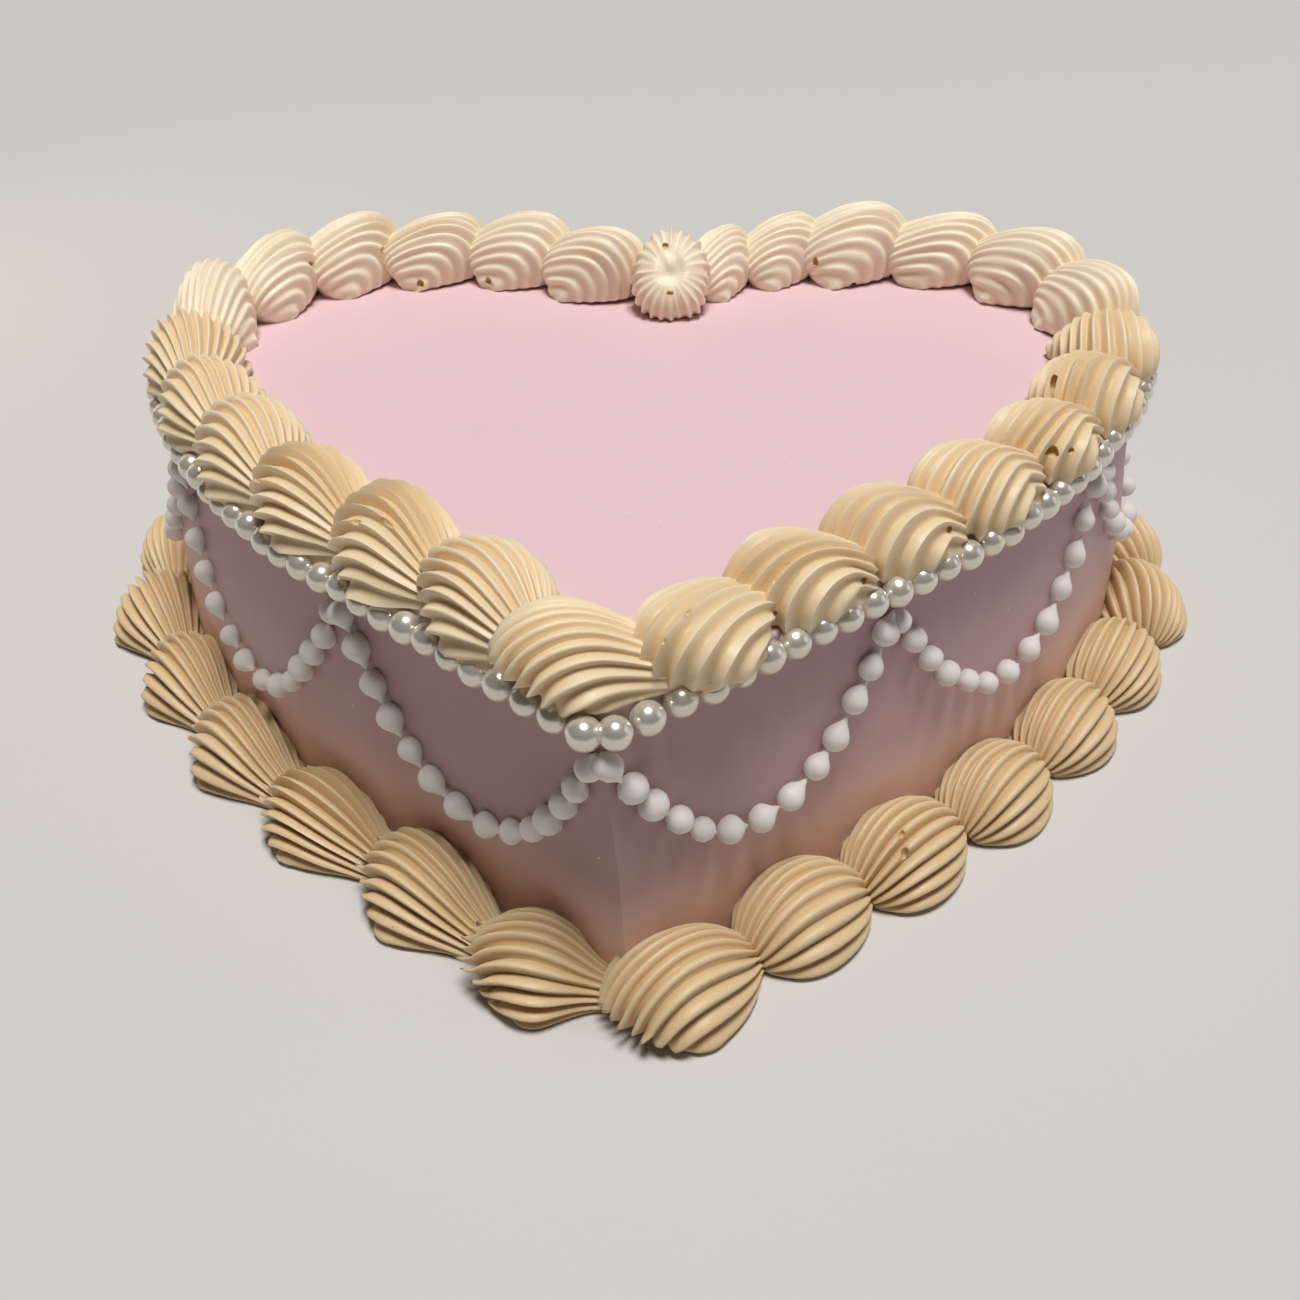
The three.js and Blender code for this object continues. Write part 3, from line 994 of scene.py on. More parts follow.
@dataclass
class BeadSwags:
    """Loops of icing beads on the wall, each bead drawn out toward the next.

    rings are the places along a bead and the radii there, and tail where its tail ends. A bead is moved back
    by its setback, stands out by stand_off, both in radii, and differs in size, tilt and the three
    stretches. slack is how much of a parabola's extra length sets the number of beads.
    """

    outline: HeartOutline
    top_z: float = 72.5
    pitch: float = 9.6
    radius: float = 3.3
    slack: float = 0.8
    stand_off: float = 0.45
    setback: float = 0.25
    tail: float = 1.75
    around: int = 14
    sizes: tuple[float, float] = (0.9, 1.08)
    drift: float = 0.4
    tilt: float = 0.12
    stretches: tuple[tuple[float, float], ...] = ((0.92, 1.1), (0.92, 1.05), (0.95, 1.06))
    loops: tuple[Swag, ...] = (
        Swag(-396, -322, 33.0),
        Swag(-322, -250, 32.0),
        Swag(-250, -172, 30.0),
        Swag(-172, -84, 27.0),
        Swag(-84, -1, 29.5),
        Swag(-1, 79, 33.5),
        Swag(79, 167, 33.0),
        Swag(167, 244, 34.0),
        Swag(244, 320, 32.0),
        Swag(320, 396, 34.0),
    )
    rings: tuple[tuple[float, float], ...] = (
        (-0.9, 0.42),
        (-0.66, 0.75),
        (-0.28, 0.97),
        (0.1, 0.99),
        (0.48, 0.83),
        (0.82, 0.55),
        (1.12, 0.3),
        (1.42, 0.15),
    )

    def bead(self) -> bpy.types.Object:
        """Draws a ball out into a drop with its tail along +X.

        Returns:
            One bead of radius 1.
        """
        deselect()
        bpy.ops.mesh.primitive_uv_sphere_add(
            segments=self.around, ring_count=len(self.rings) + 1, radius=1, rotation=(0, math.radians(90), 0)
        )
        bead = bpy.context.object
        bpy.ops.object.transform_apply(location=True, rotation=True, scale=True)
        levels = sorted({round(vertex.co.x, 4) for vertex in bead.data.vertices})
        edit(bead)
        for level, (_, radius) in zip(levels[1:-1], self.rings):
            select_where(bead, lambda vertex: abs(vertex.co.x - level) < CLOSE)
            share = radius / math.sqrt(1 - level * level)
            bpy.ops.transform.resize(value=(1, share, share), center_override=(level, 0, 0))
        places_along = (-1.0, *(x for x, _ in self.rings), self.tail)
        for level, x in reversed(list(zip(levels, places_along))):
            if x > level:
                select_where(bead, lambda vertex: abs(vertex.co.x - level) < CLOSE)
                bpy.ops.transform.translate(value=(x - level, 0, 0))
        bpy.ops.object.mode_set(mode="OBJECT")
        return bead

    def model(self) -> bpy.types.Object:
        """Presses out every loop, bead by bead.

        Returns:
            All the beads as one piece.
        """
        bead = self.bead()
        unit = places(bead.data)
        draw = random.Random(23)
        spots = []
        for loop in self.loops:
            span, sag = loop.end - loop.start, self.top_z - loop.low
            arc = span + (8 * sag * sag) / (3 * span) * self.slack
            beads = round(arc / self.pitch)
            for order in range(beads):
                share = self.share_at((order + 0.5) / beads, span, sag)
                slope = (4 * sag * (2 * share - 1)) / span
                size = self.radius * draw.uniform(*self.sizes)
                from_tip = loop.start + span * share + draw.uniform(-self.drift, self.drift)
                z = self.top_z - 4 * sag * share * (1 - share) + draw.uniform(-self.drift, self.drift)
                tilt = math.atan(slope) + draw.uniform(-self.tilt, self.tilt)
                centre, ways = on_wall(self.outline, from_tip, z, self.stand_off * self.radius, tilt)
                stretch = np.array([draw.uniform(*limits) for limits in self.stretches])
                moved = unit - np.array([self.setback, 0.0, 0.0])
                spots.append(self.outline.placed(centre + (moved * stretch * size) @ ways.T))
        swags = joined("swag_beads", bead, spots)
        shade_smooth(swags, 180)
        return swags

    def share_at(self, length_share: float, span: float, sag: float, steps: int = 60) -> float:
        """Share of a loop's span at which a share of its hanging length is reached.

        Args:
            length_share: Share of the hanging length.
            span: Distance between its ends.
            sag: How far it hangs.
            steps: Parts that the length is added up in.

        Returns:
            The share of the span.
        """
        middles = (np.arange(steps) + 0.5) / steps
        lengths = np.concatenate([[0], np.cumsum(np.hypot(1, 4 * sag * (2 * middles - 1) / span))])
        return float(np.interp(length_share * lengths[-1], lengths, np.arange(steps + 1) / steps))


# Piped shells


@dataclass(frozen=True)
class Arch:
    """One cross section of a shell, in half widths of the shell.

    foot is where its two ends stand along the shell, crest_x and crest_z its highest point, width its half
    width, moved its share of the tail's drawing out, drift how far it is moved across, inward positive,
    valley how far a valley reaches of what a ridge does, and lift the height of its ends.
    """

    foot: float
    crest_x: float
    crest_z: float
    width: float
    moved: float = 0.0
    drift: float = 0.0
    valley: float = 0.85
    lift: float = 0.0

    @property
    def lean(self) -> float:
        """Angle of the plane from the ground behind it, in radians."""
        return math.atan2(self.crest_z - self.lift, self.foot - self.crest_x)

    @property
    def reach(self) -> float:
        """Distance from the foot to the crest."""
        return math.hypot(self.foot - self.crest_x, self.crest_z - self.lift)

    @property
    def hinge(self) -> tuple[float, float, float]:
        """The middle between its two ends, about which it turns."""
        return self.foot, self.drift, self.lift


@dataclass(frozen=True)
class ShellForm:
    """How one kind of shell is piped: its arches from head to tail, and how its ridges are spread.

    tail is what its tail spans undrawn, in half widths, and outer_turn and inner_turn are where the first
    and last ridge lie on the arch, in degrees. hollow is how deep the head is pushed in. profile is how deep
    the cream lies at a quarter, half and three quarters of the way from one crest to the next, going inward
    over the top, as a share of the full depth. The creases are how sharp crests and valleys stay. ragged is
    how far the free ends at the head are torn out, in half widths, from the ridge ragged_from on. settled is
    how far the outer ridges by the tail sag to the ground, the share of painted light how much paler the
    whole shell is painted, relief the share of the valleys' depth that is left, and shoulder how far the
    outer side swells out halfway up. lip and tip are the sizes of the pushed in head and of the tail's end,
    as shares of the ring before them, and tip_reach is how far that end is drawn on, in half widths of its
    last arch.
    """

    name: str
    arches: tuple[Arch, ...]
    tail: float
    ridges: int = 15
    outer_turn: float = -18.0
    inner_turn: float = 186.0
    hollow: float = 0.16
    profile: tuple[float, float, float] = (0.55, 1.0, 0.85)
    crest_crease: float = 0.8
    valley_crease: float = 0.0
    ragged: float = 0.08
    ragged_from: float = 0.0
    settled: float = 1.0
    painted_light_share: float = 0.0
    relief: float = 1.0
    shoulder: float = 0.0
    lip: float = 0.86
    tip: float = 0.55
    tip_reach: float = 0.12

    def model(self) -> bpy.types.Object:
        """Pipes one shell: a fluted half ring is extruded from arch to arch and turned about each foot.

        Returns:
            The master shell, one half width wide on each side, with its numbers for each vertex.
        """
        shell = self.half_ring()
        before = Arch(0, -1, 0, 1, valley=1.0)
        for order, arch in enumerate(self.arches):
            if order:
                bpy.ops.mesh.extrude_region_move()
            turn_about_y(arch.lean - before.lean, before.hinge)
            size = arch.reach / before.reach
            widening = arch.width / before.width
            bpy.ops.transform.resize(value=(size, widening, size), center_override=before.hinge)
            bpy.ops.transform.translate(value=Vector(arch.hinge) - Vector(before.hinge))
            self.mark_ring(shell, order, arch)
            self.press_valleys(shell, order, arch, before)
            before = arch
        self.close_tail(shell)
        self.hollow_head(shell)
        face_outward()
        self.sharpen_crests(shell)
        bpy.ops.object.mode_set(mode="OBJECT")
        apply_modifier(shell, "SUBSURF", levels=1, render_levels=1)
        return shell

    def half_ring(self) -> bpy.types.Object:
        """Draws the flat half ring that the arches are extruded from, and leaves it selected in edit mode.

        Returns:
            The shell begun, with its numbers for each vertex.
        """
        step = math.radians(self.inner_turn - self.outer_turn) / (ARCH_STEPS * (self.ridges - 1))
        around = round(math.tau / step)
        deselect()
        bpy.ops.mesh.primitive_circle_add(vertices=around, radius=1, fill_type="NOTHING")
        shell = bpy.context.object
        mesh = edit(shell)
        for layer in ("turn", "ridge", "place", "arch", "moved", "foot", "lean", "lift"):
            mesh.verts.layers.float.new(layer)
        layers = mesh.verts.layers.float
        turn_layer, ridge_layer, place_layer = (layers[name] for name in ("turn", "ridge", "place"))
        first = min(mesh.verts, key=lambda v: abs(self.turn_of(v.co) - math.radians(self.outer_turn)))
        offset = self.turn_of(first.co)
        for vertex in mesh.verts:
            place = round(((self.turn_of(vertex.co) - offset) % math.tau) / (math.tau / around))
            vertex[turn_layer] = place / ARCH_STEPS
            vertex[place_layer] = place % ARCH_STEPS
            # The ridge value is 1 on a crest and less toward a valley, plus the shell's share of painted
            # light. The material paints it as highlight, shade and light.
            vertex[ridge_layer] = self.painted_light_share + 1 - (0.0, *self.profile)[place % ARCH_STEPS]
        bmesh.update_edit_mesh(shell.data)
        turn_layer = bmesh.from_edit_mesh(shell.data).verts.layers.float["turn"]
        select_where(shell, lambda v: v[turn_layer] > self.ridges - 1 + CLOSE)
        bpy.ops.mesh.delete(type="VERT")
        bpy.ops.mesh.select_all(action="SELECT")
        bpy.ops.mesh.edge_face_add()
        return shell

    @staticmethod
    def turn_of(place: Vector) -> float:
        """Angle round the arch of a point on the flat ring, from the outer foot over the top."""
        return math.atan2(-place.x, -place.y)

    def mark_ring(self, shell: bpy.types.Object, order: int, arch: Arch) -> None:
        """Writes the arch's numbers on the ring that is selected.

        Args:
            shell: The shell in edit mode.
            order: The arch's number.
            arch: The arch.
        """
        mesh = bmesh.from_edit_mesh(shell.data)
        layers = mesh.verts.layers.float
        for vertex in mesh.verts:
            if vertex.select:
                vertex[layers["arch"]] = order
                for name in ("moved", "foot", "lean", "lift"):
                    vertex[layers[name]] = getattr(arch, name)
        bmesh.update_edit_mesh(shell.data)

    def press_valleys(self, shell: bpy.types.Object, order: int, arch: Arch, before: Arch) -> None:
        """Presses the valleys of the newest ring in, or lets them out, and selects the whole ring again.

        Args:
            shell: The shell in edit mode.
            order: The arch's number.
            arch: The arch.
            before: The arch that the ring was copied from.
        """
        for place, depth in enumerate(self.profile, 1):
            depth *= self.relief
            size = (1 - depth * (1 - arch.valley)) / (1 - depth * (1 - before.valley))
            if not math.isclose(size, 1, abs_tol=1e-4):
                self.select_ring(shell, order, place)
                bpy.ops.transform.resize(value=(size, size, size), center_override=arch.hinge)
        self.select_ring(shell, order)

    @staticmethod
    def select_ring(shell: bpy.types.Object, order: int, place: int | None = None) -> None:
        """Selects one arch's ring, or only its vertices at one place between crests.

        Args:
            shell: The shell in edit mode.
            order: The arch's number.
            place: Quarters of the way from a crest, or None for all.
        """
        layers = bmesh.from_edit_mesh(shell.data).verts.layers.float
        ring, at = layers["arch"], layers["place"]
        select_where(shell, lambda v: abs(v[ring] - order) < CLOSE and place in (None, round(v[at])))

    def close_tail(self, shell: bpy.types.Object) -> None:
        """Rounds off the end of the tail.

        Args:
            shell: The shell in edit mode.
        """
        last = len(self.arches) - 1
        arch = self.arches[-1]
        self.select_ring(shell, last)
        bpy.ops.mesh.extrude_region_move()
        bpy.ops.transform.resize(value=(self.tip,) * 3, center_override=arch.hinge)
        bpy.ops.transform.translate(value=(self.tip_reach * arch.width, 0, 0))

    def hollow_head(self, shell: bpy.types.Object) -> None:
        """Pushes the open face at the head inward, so that the ridges end in thin lips.

        Args:
            shell: The shell in edit mode.
        """
        arch = self.arches[0]
        self.select_ring(shell, 0)
        mesh = bmesh.from_edit_mesh(shell.data)
        ring = [v for v in mesh.verts if v.select]
        face = next(f for f in mesh.faces if len(f.verts) == len(ring) and all(v.select for v in f.verts))
        bpy.ops.mesh.select_all(action="DESELECT")
        face.select_set(True)
        bmesh.update_edit_mesh(shell.data)
        bpy.ops.mesh.extrude_region_move()
        bpy.ops.transform.resize(value=(self.lip,) * 3, center_override=arch.hinge)
        inward = Vector((math.sin(arch.lean), 0, math.cos(arch.lean)))
        bpy.ops.transform.translate(value=inward * self.hollow)
        # The pushed in face takes the lowest ridge value, so the material paints it with the valleys' painted
        # shade.
        mesh = bmesh.from_edit_mesh(shell.data)
        for vertex in mesh.verts:
            if vertex.select:
                vertex[mesh.verts.layers.float["ridge"]] = 0.0
        bmesh.update_edit_mesh(shell.data)

    def sharpen_crests(self, shell: bpy.types.Object) -> None:
        """Keeps the crest lines, and the valleys where they are cuts, sharp under subdivision.

        Args:
            shell: The shell in edit mode.
        """
        mesh = bmesh.from_edit_mesh(shell.data)
        at, ring = (mesh.verts.layers.float[name] for name in ("place", "arch"))
        crease = mesh.edges.layers.float.get("crease_edge") or mesh.edges.layers.float.new("crease_edge")
        creases = {0: self.crest_crease, 1 + self.profile.index(max(self.profile)): self.valley_crease}
        for edge in mesh.edges:
            a, b = edge.verts
            if round(a[at]) == round(b[at]) and abs(a[ring] - b[ring]) > 0.5:
                edge[crease] = creases.get(round(a[at]), 0.0)
        bmesh.update_edit_mesh(shell.data)


CURLED = ShellForm(
    "curled",
    (
        Arch(0.02, -1.14, 0.52, 0.90, valley=0.70),
        Arch(0.08, -1.08, 0.80, 0.99, valley=0.78),
        Arch(0.16, -0.92, 1.07, 1.05, valley=0.83, lift=0.02),
        Arch(0.26, -0.67, 1.26, 1.07, valley=0.85, lift=0.04),
        Arch(0.38, -0.28, 1.41, 1.06, valley=0.86, lift=0.07),
        Arch(0.50, 0.12, 1.42, 1.01, valley=0.86, lift=0.10),
        Arch(0.64, 0.47, 1.32, 0.93, 0.3, -0.03, 0.87, 0.13),
        Arch(0.80, 0.77, 1.15, 0.81, 0.6, -0.06, 0.87, 0.16),
        Arch(0.98, 1.02, 0.95, 0.67, 0.8, -0.09, 0.88, 0.18),
        Arch(1.16, 1.23, 0.77, 0.54, 1.0, -0.12, 0.90, 0.18),
        Arch(1.36, 1.43, 0.60, 0.41, 1.0, -0.14, 0.91, 0.15),
        Arch(1.54, 1.58, 0.45, 0.30, 1.0, -0.15, 0.92, 0.12),
    ),
    tail=0.8,
    ridges=17,
    outer_turn=-10.0,
    hollow=0.22,
    profile=(0.4, 0.8, 1.0),
    valley_crease=0.4,
    ragged=0.2,
    settled=0.3,
)
DRAPED = ShellForm(
    "draped",
    (
        Arch(0.90, -0.84, 0.03, 0.90, valley=0.93),
        Arch(0.90, -0.98, 0.24, 0.97, valley=0.89),
        Arch(0.91, -1.04, 0.52, 1.02, valley=0.87),
        Arch(0.93, -0.95, 0.84, 1.04, valley=0.87, lift=0.02),
        Arch(0.95, -0.72, 1.13, 1.05, valley=0.87, lift=0.04),
        Arch(0.98, -0.42, 1.34, 1.04, valley=0.87, lift=0.06),
        Arch(1.01, -0.08, 1.43, 1.01, valley=0.87, lift=0.08),
        Arch(1.05, 0.26, 1.40, 0.95, 0.2, -0.02, 0.87, 0.11),
        Arch(1.09, 0.57, 1.30, 0.88, 0.5, -0.04, 0.87, 0.14),
        Arch(1.15, 0.84, 1.17, 0.80, 0.8, -0.07, 0.87, 0.17),
        Arch(1.22, 1.08, 1.03, 0.77, 1.0, -0.13, 0.87, 0.16),
        Arch(1.31, 1.29, 0.89, 0.73, 1.0, -0.18, 0.87, 0.13),
        Arch(1.43, 1.49, 0.74, 0.67, 1.0, -0.22, 0.88, 0.09),
        Arch(1.54, 1.64, 0.57, 0.58, 1.0, -0.24, 0.88, 0.05),
    ),
    tail=0.8,
    outer_turn=-14.0,
    profile=(0.5, 1.0, 0.7),
    valley_crease=0.3,
    ragged=0.0,
    shoulder=0.1,
)
WAVED = ShellForm(
    "waved",
    (
        Arch(0.66, -1.06, 0.03, 0.92, valley=0.93),
        Arch(0.66, -1.20, 0.28, 0.98, valley=0.92),
        Arch(0.66, -1.27, 0.60, 1.02, valley=0.91),
        Arch(0.67, -1.23, 0.93, 1.04, valley=0.90, lift=0.01),
        Arch(0.68, -1.08, 1.22, 1.05, valley=0.89, lift=0.02),
        Arch(0.70, -0.82, 1.42, 1.04, valley=0.89, lift=0.04),
        Arch(0.73, -0.47, 1.50, 1.01, valley=0.89, lift=0.06),
        Arch(0.76, -0.08, 1.48, 0.98, 0.2, 0.0, 0.89, 0.08),
        Arch(0.80, 0.30, 1.40, 0.95, 0.4, 0.0, 0.89, 0.10),
        Arch(0.84, 0.66, 1.28, 0.91, 0.6, 0.0, 0.90, 0.11),
        Arch(0.89, 0.98, 1.14, 0.86, 0.8, 0.0, 0.90, 0.12),
        Arch(0.94, 1.25, 0.97, 0.79, 1.0, 0.0, 0.91, 0.12),
        Arch(0.98, 1.45, 0.78, 0.70, 1.0, 0.0, 0.92, 0.11),
        Arch(1.02, 1.56, 0.56, 0.58, 1.0, 0.0, 0.93, 0.09),
    ),
    tail=0.8,
    ridges=18,
    outer_turn=-10.0,
    profile=(0.6, 1.0, 0.5),
    crest_crease=0.2,
    # Painted light pales these back shells all over.
    painted_light_share=1.1,
    ragged=0.0,
    relief=0.7,
)
HUMPED = replace(
    WAVED,
    name="humped",
    ridges=14,
    profile=(0.5, 1.0, 0.7),
    crest_crease=0.7,
    painted_light_share=0.0,
    relief=1.0,
    shoulder=0.1,
)
TRAILING = replace(
    CURLED,
    name="trailing",
    arches=(
        *CURLED.arches[:5],
        Arch(0.52, 0.13, 1.40, 1.00, valley=0.87, lift=0.10),
        Arch(0.70, 0.50, 1.27, 0.90, 0.2, -0.04, 0.88, 0.10),
        Arch(0.92, 0.84, 1.06, 0.77, 0.5, -0.10, 0.90, 0.09),
        Arch(1.18, 1.14, 0.86, 0.63, 0.8, -0.18, 0.93, 0.08),
        Arch(1.46, 1.44, 0.69, 0.51, 1.0, -0.26, 0.95, 0.06),
        Arch(1.76, 1.76, 0.56, 0.43, 1.0, -0.32, 0.97, 0.04),
        Arch(2.10, 2.12, 0.45, 0.37, 1.0, -0.36, 0.98, 0.02),
        Arch(2.44, 2.48, 0.31, 0.26, 1.0, -0.39, 0.98),
    ),
    ragged=0.1,
)
FANNED = ShellForm(
    "fanned",
    (
        Arch(0.02, -1.18, 0.62, 0.92, valley=0.66),
        Arch(0.07, -1.07, 0.90, 1.02, valley=0.75),
        Arch(0.13, -0.86, 1.15, 1.08, valley=0.80),
        Arch(0.20, -0.54, 1.33, 1.10, valley=0.82),
        Arch(0.30, -0.18, 1.42, 1.10, valley=0.83),
        Arch(0.42, 0.18, 1.40, 1.05, valley=0.83),
        Arch(0.55, 0.50, 1.27, 0.95, 0.3, valley=0.83),
        Arch(0.70, 0.78, 1.06, 0.82, 0.6, valley=0.83),
        Arch(0.88, 1.00, 0.83, 0.67, 0.8, valley=0.83),
        Arch(1.08, 1.20, 0.65, 0.54, 1.0, valley=0.84),
        Arch(1.32, 1.42, 0.52, 0.45, 1.0, valley=0.85),
        Arch(1.60, 1.68, 0.44, 0.40, 1.0, valley=0.86),
    ),
    tail=1.05,
    ridges=16,
    outer_turn=-8.0,
    hollow=0.3,
    profile=(0.12, 0.5, 1.0),
    valley_crease=0.6,
    ragged=0.3,
)
SPREAD = ShellForm(
    "spread",
    (
        Arch(-0.30, -1.16, 0.42, 0.86, valley=0.64),
        Arch(-0.26, -1.13, 0.72, 0.99, valley=0.75),
        Arch(-0.18, -0.94, 1.02, 1.07, valley=0.80),
        Arch(-0.08, -0.60, 1.28, 1.12, valley=0.83),
        Arch(0.06, -0.18, 1.42, 1.13, valley=0.84),
        Arch(0.20, 0.20, 1.42, 1.10, valley=0.84),
        Arch(0.38, 0.50, 1.30, 1.02, 0.4, valley=0.84),
        Arch(0.58, 0.76, 1.10, 0.90, 0.7, valley=0.83),
        Arch(0.80, 0.98, 0.86, 0.74, 0.9, valley=0.81),
        Arch(0.98, 1.16, 0.64, 0.57, 1.0, valley=0.77),
        Arch(1.12, 1.28, 0.48, 0.44, 1.0, valley=0.70),
        Arch(1.30, 1.42, 0.40, 0.38, 1.0, valley=0.64),
    ),
    tail=0.86,
    outer_turn=-8.0,
    hollow=0.26,
    profile=(0.12, 0.5, 1.0),
    crest_crease=0.6,
    valley_crease=0.6,
    ragged=0.16,
)
ROUNDED = replace(
    SPREAD,
    name="rounded",
    arches=(
        Arch(-1.00, -1.22, 0.36, 0.42, valley=0.62),
        Arch(-0.90, -1.16, 0.62, 0.62, valley=0.74),
        Arch(-0.72, -1.00, 0.94, 0.86, valley=0.80),
        Arch(-0.48, -0.72, 1.22, 1.02, valley=0.83),
        Arch(-0.20, -0.36, 1.40, 1.10, valley=0.84),
        Arch(0.08, 0.02, 1.45, 1.12, valley=0.84),
        Arch(0.36, 0.40, 1.37, 1.06, 0.4, valley=0.84),
        Arch(0.60, 0.72, 1.18, 0.93, 0.7, valley=0.83),
        Arch(0.82, 0.98, 0.92, 0.75, 0.9, valley=0.81),
        Arch(0.98, 1.16, 0.66, 0.56, 1.0, valley=0.76),
        Arch(1.12, 1.28, 0.48, 0.43, 1.0, valley=0.66),
        Arch(1.30, 1.42, 0.40, 0.38, 1.0, valley=0.60),
    ),
    hollow=0.08,
    profile=(0.1, 0.42, 1.0),
    crest_crease=0.3,
    valley_crease=0.7,
    ragged=0.3,
    ragged_from=9.0,
)


@dataclass(frozen=True)
class Hole:
    """A hole that a burst bubble or a torn ridge left, as an egg shape cut from one piece.

    It lies by ridge, counted from the outer foot, and by arch, counted from the head. size is its half
    length, half width and half height in millimetres, turned the angle of its length from the X axis in
    degrees, and raggedness how uneven its rim is.
    """

    piece: str
    ridge: float
    arch: float
    size: tuple[float, float, float]
    turned: float = 0.0
    raggedness: float = 0.16

    def spot(self, mesh: bpy.types.Mesh) -> np.ndarray:
        """Returns its middle, the place on the mesh that is nearest to its ridge and arch."""
        away = np.hypot(point_values(mesh, "turn") - self.ridge, point_values(mesh, "arch") - self.arch)
        return places(mesh)[int(np.argmin(away))]

    def cut(self, piece: bpy.types.Object, spot: np.ndarray, seed: int) -> None:
        """Cuts the hole.

        Args:
            piece: The piece that it opens.
            spot: Its middle.
            seed: What makes its rim uneven.
        """
        deselect()
        bpy.ops.mesh.primitive_ico_sphere_add(subdivisions=2, radius=1)
        egg = bpy.context.object
        dent(egg, self.raggedness, seed)
        turn = np.array(Matrix.Rotation(math.radians(self.turned), 3, "Z"))
        set_places(egg.data, spot + (places(egg.data) * self.size) @ turn.T * MM)
        apply_modifier(piece, "BOOLEAN", object=egg, operation="DIFFERENCE", solver="MANIFOLD")
        bpy.data.objects.remove(egg)


HOLES = (
    Hole("top_shell_19", 8.5, 4, (1.6, 3.0, 2.8)),
    Hole("top_shell_18", 4.5, 3.5, (2.0, 2.6, 1.3), 20),
    Hole("top_shell_18", 3.5, 4, (0.8, 1.6, 0.8)),
    Hole("top_shell_05", 12.5, 4, (1.2, 1.4, 0.8)),
    Hole("top_shell_04", 13, 4, (1.0, 1.4, 0.8)),
    Hole("top_shell_03", 16, 6, (1.2, 2.0, 1.3)),
    Hole("top_shell_02", 16, 8, (1.1, 2.0, 1.3)),
    Hole("top_shell_24", 14, 11, (0.9, 2.0, 1.4)),
    Hole("top_shell_24", 15, 1, (1.0, 2.0, 1.1)),
    Hole("top_shell_16", 2.5, 9, (0.8, 1.6, 0.9)),
    Hole("top_shell_15", 2.5, 10, (0.9, 1.6, 0.8)),
    Hole("top_shell_15", 5.3, 4, (0.6, 1.2, 0.6)),
    Hole("top_shell_15", 4.6, 2, (0.6, 1.2, 0.8)),
    Hole("top_shell_14", 6, 4, (0.6, 1.0, 0.8)),
    Hole("top_shell_14", 6, 6, (0.9, 0.6, 1.0), 40),
    Hole("top_shell_11", 6, 6, (2.6, 0.7, 1.2), -40),
    Hole("top_shell_11", 5, 4, (2.3, 0.9, 1.0), -20),
    Hole("top_shell_10", 5, 3, (1.8, 0.9, 0.9), -20),
    Hole("foot_shell_09", 9, 2.5, (0.9, 1.0, 1.3)),
    Hole("foot_shell_14", 5, 3.5, (1.1, 1.8, 2.2)),
    Hole("foot_shell_14", 6, 4, (0.8, 1.4, 1.2)),
    Hole("foot_shell_18", 11, 3.5, (1.1, 1.4, 1.1)),
    Hole("rosette", 1, 7, (1.0, 1.4, 0.9)),
    Hole("rosette", 12, 7, (1.1, 1.2, 0.7)),
)


def open_holes(piece: bpy.types.Object, name: str) -> None:
    """Cuts the holes of one piece and sharpens their rims.

    Args:
        piece: The finished mesh object.
        name: What the holes know it by.
    """
    found = [(hole, hole.spot(piece.data)) for hole in HOLES if hole.piece == name]
    for seed, (hole, spot) in enumerate(found):
        hole.cut(piece, spot, seed)
    if found:
        shade_smooth(piece, 62)


@dataclass(frozen=True)
class Run:
    """A run of equal shells in a border.

    first is the first one's distance from the tip, count how many there are, pitch how far apart, shift how
    far outward they are moved, half_width and rise their size, form how they are piped, and skirt how far
    they hang past the edge.
    """

    first: float
    count: int
    pitch: float
    shift: float
    half_width: float
    rise: float
    form: ShellForm
    skirt: float = 3.6


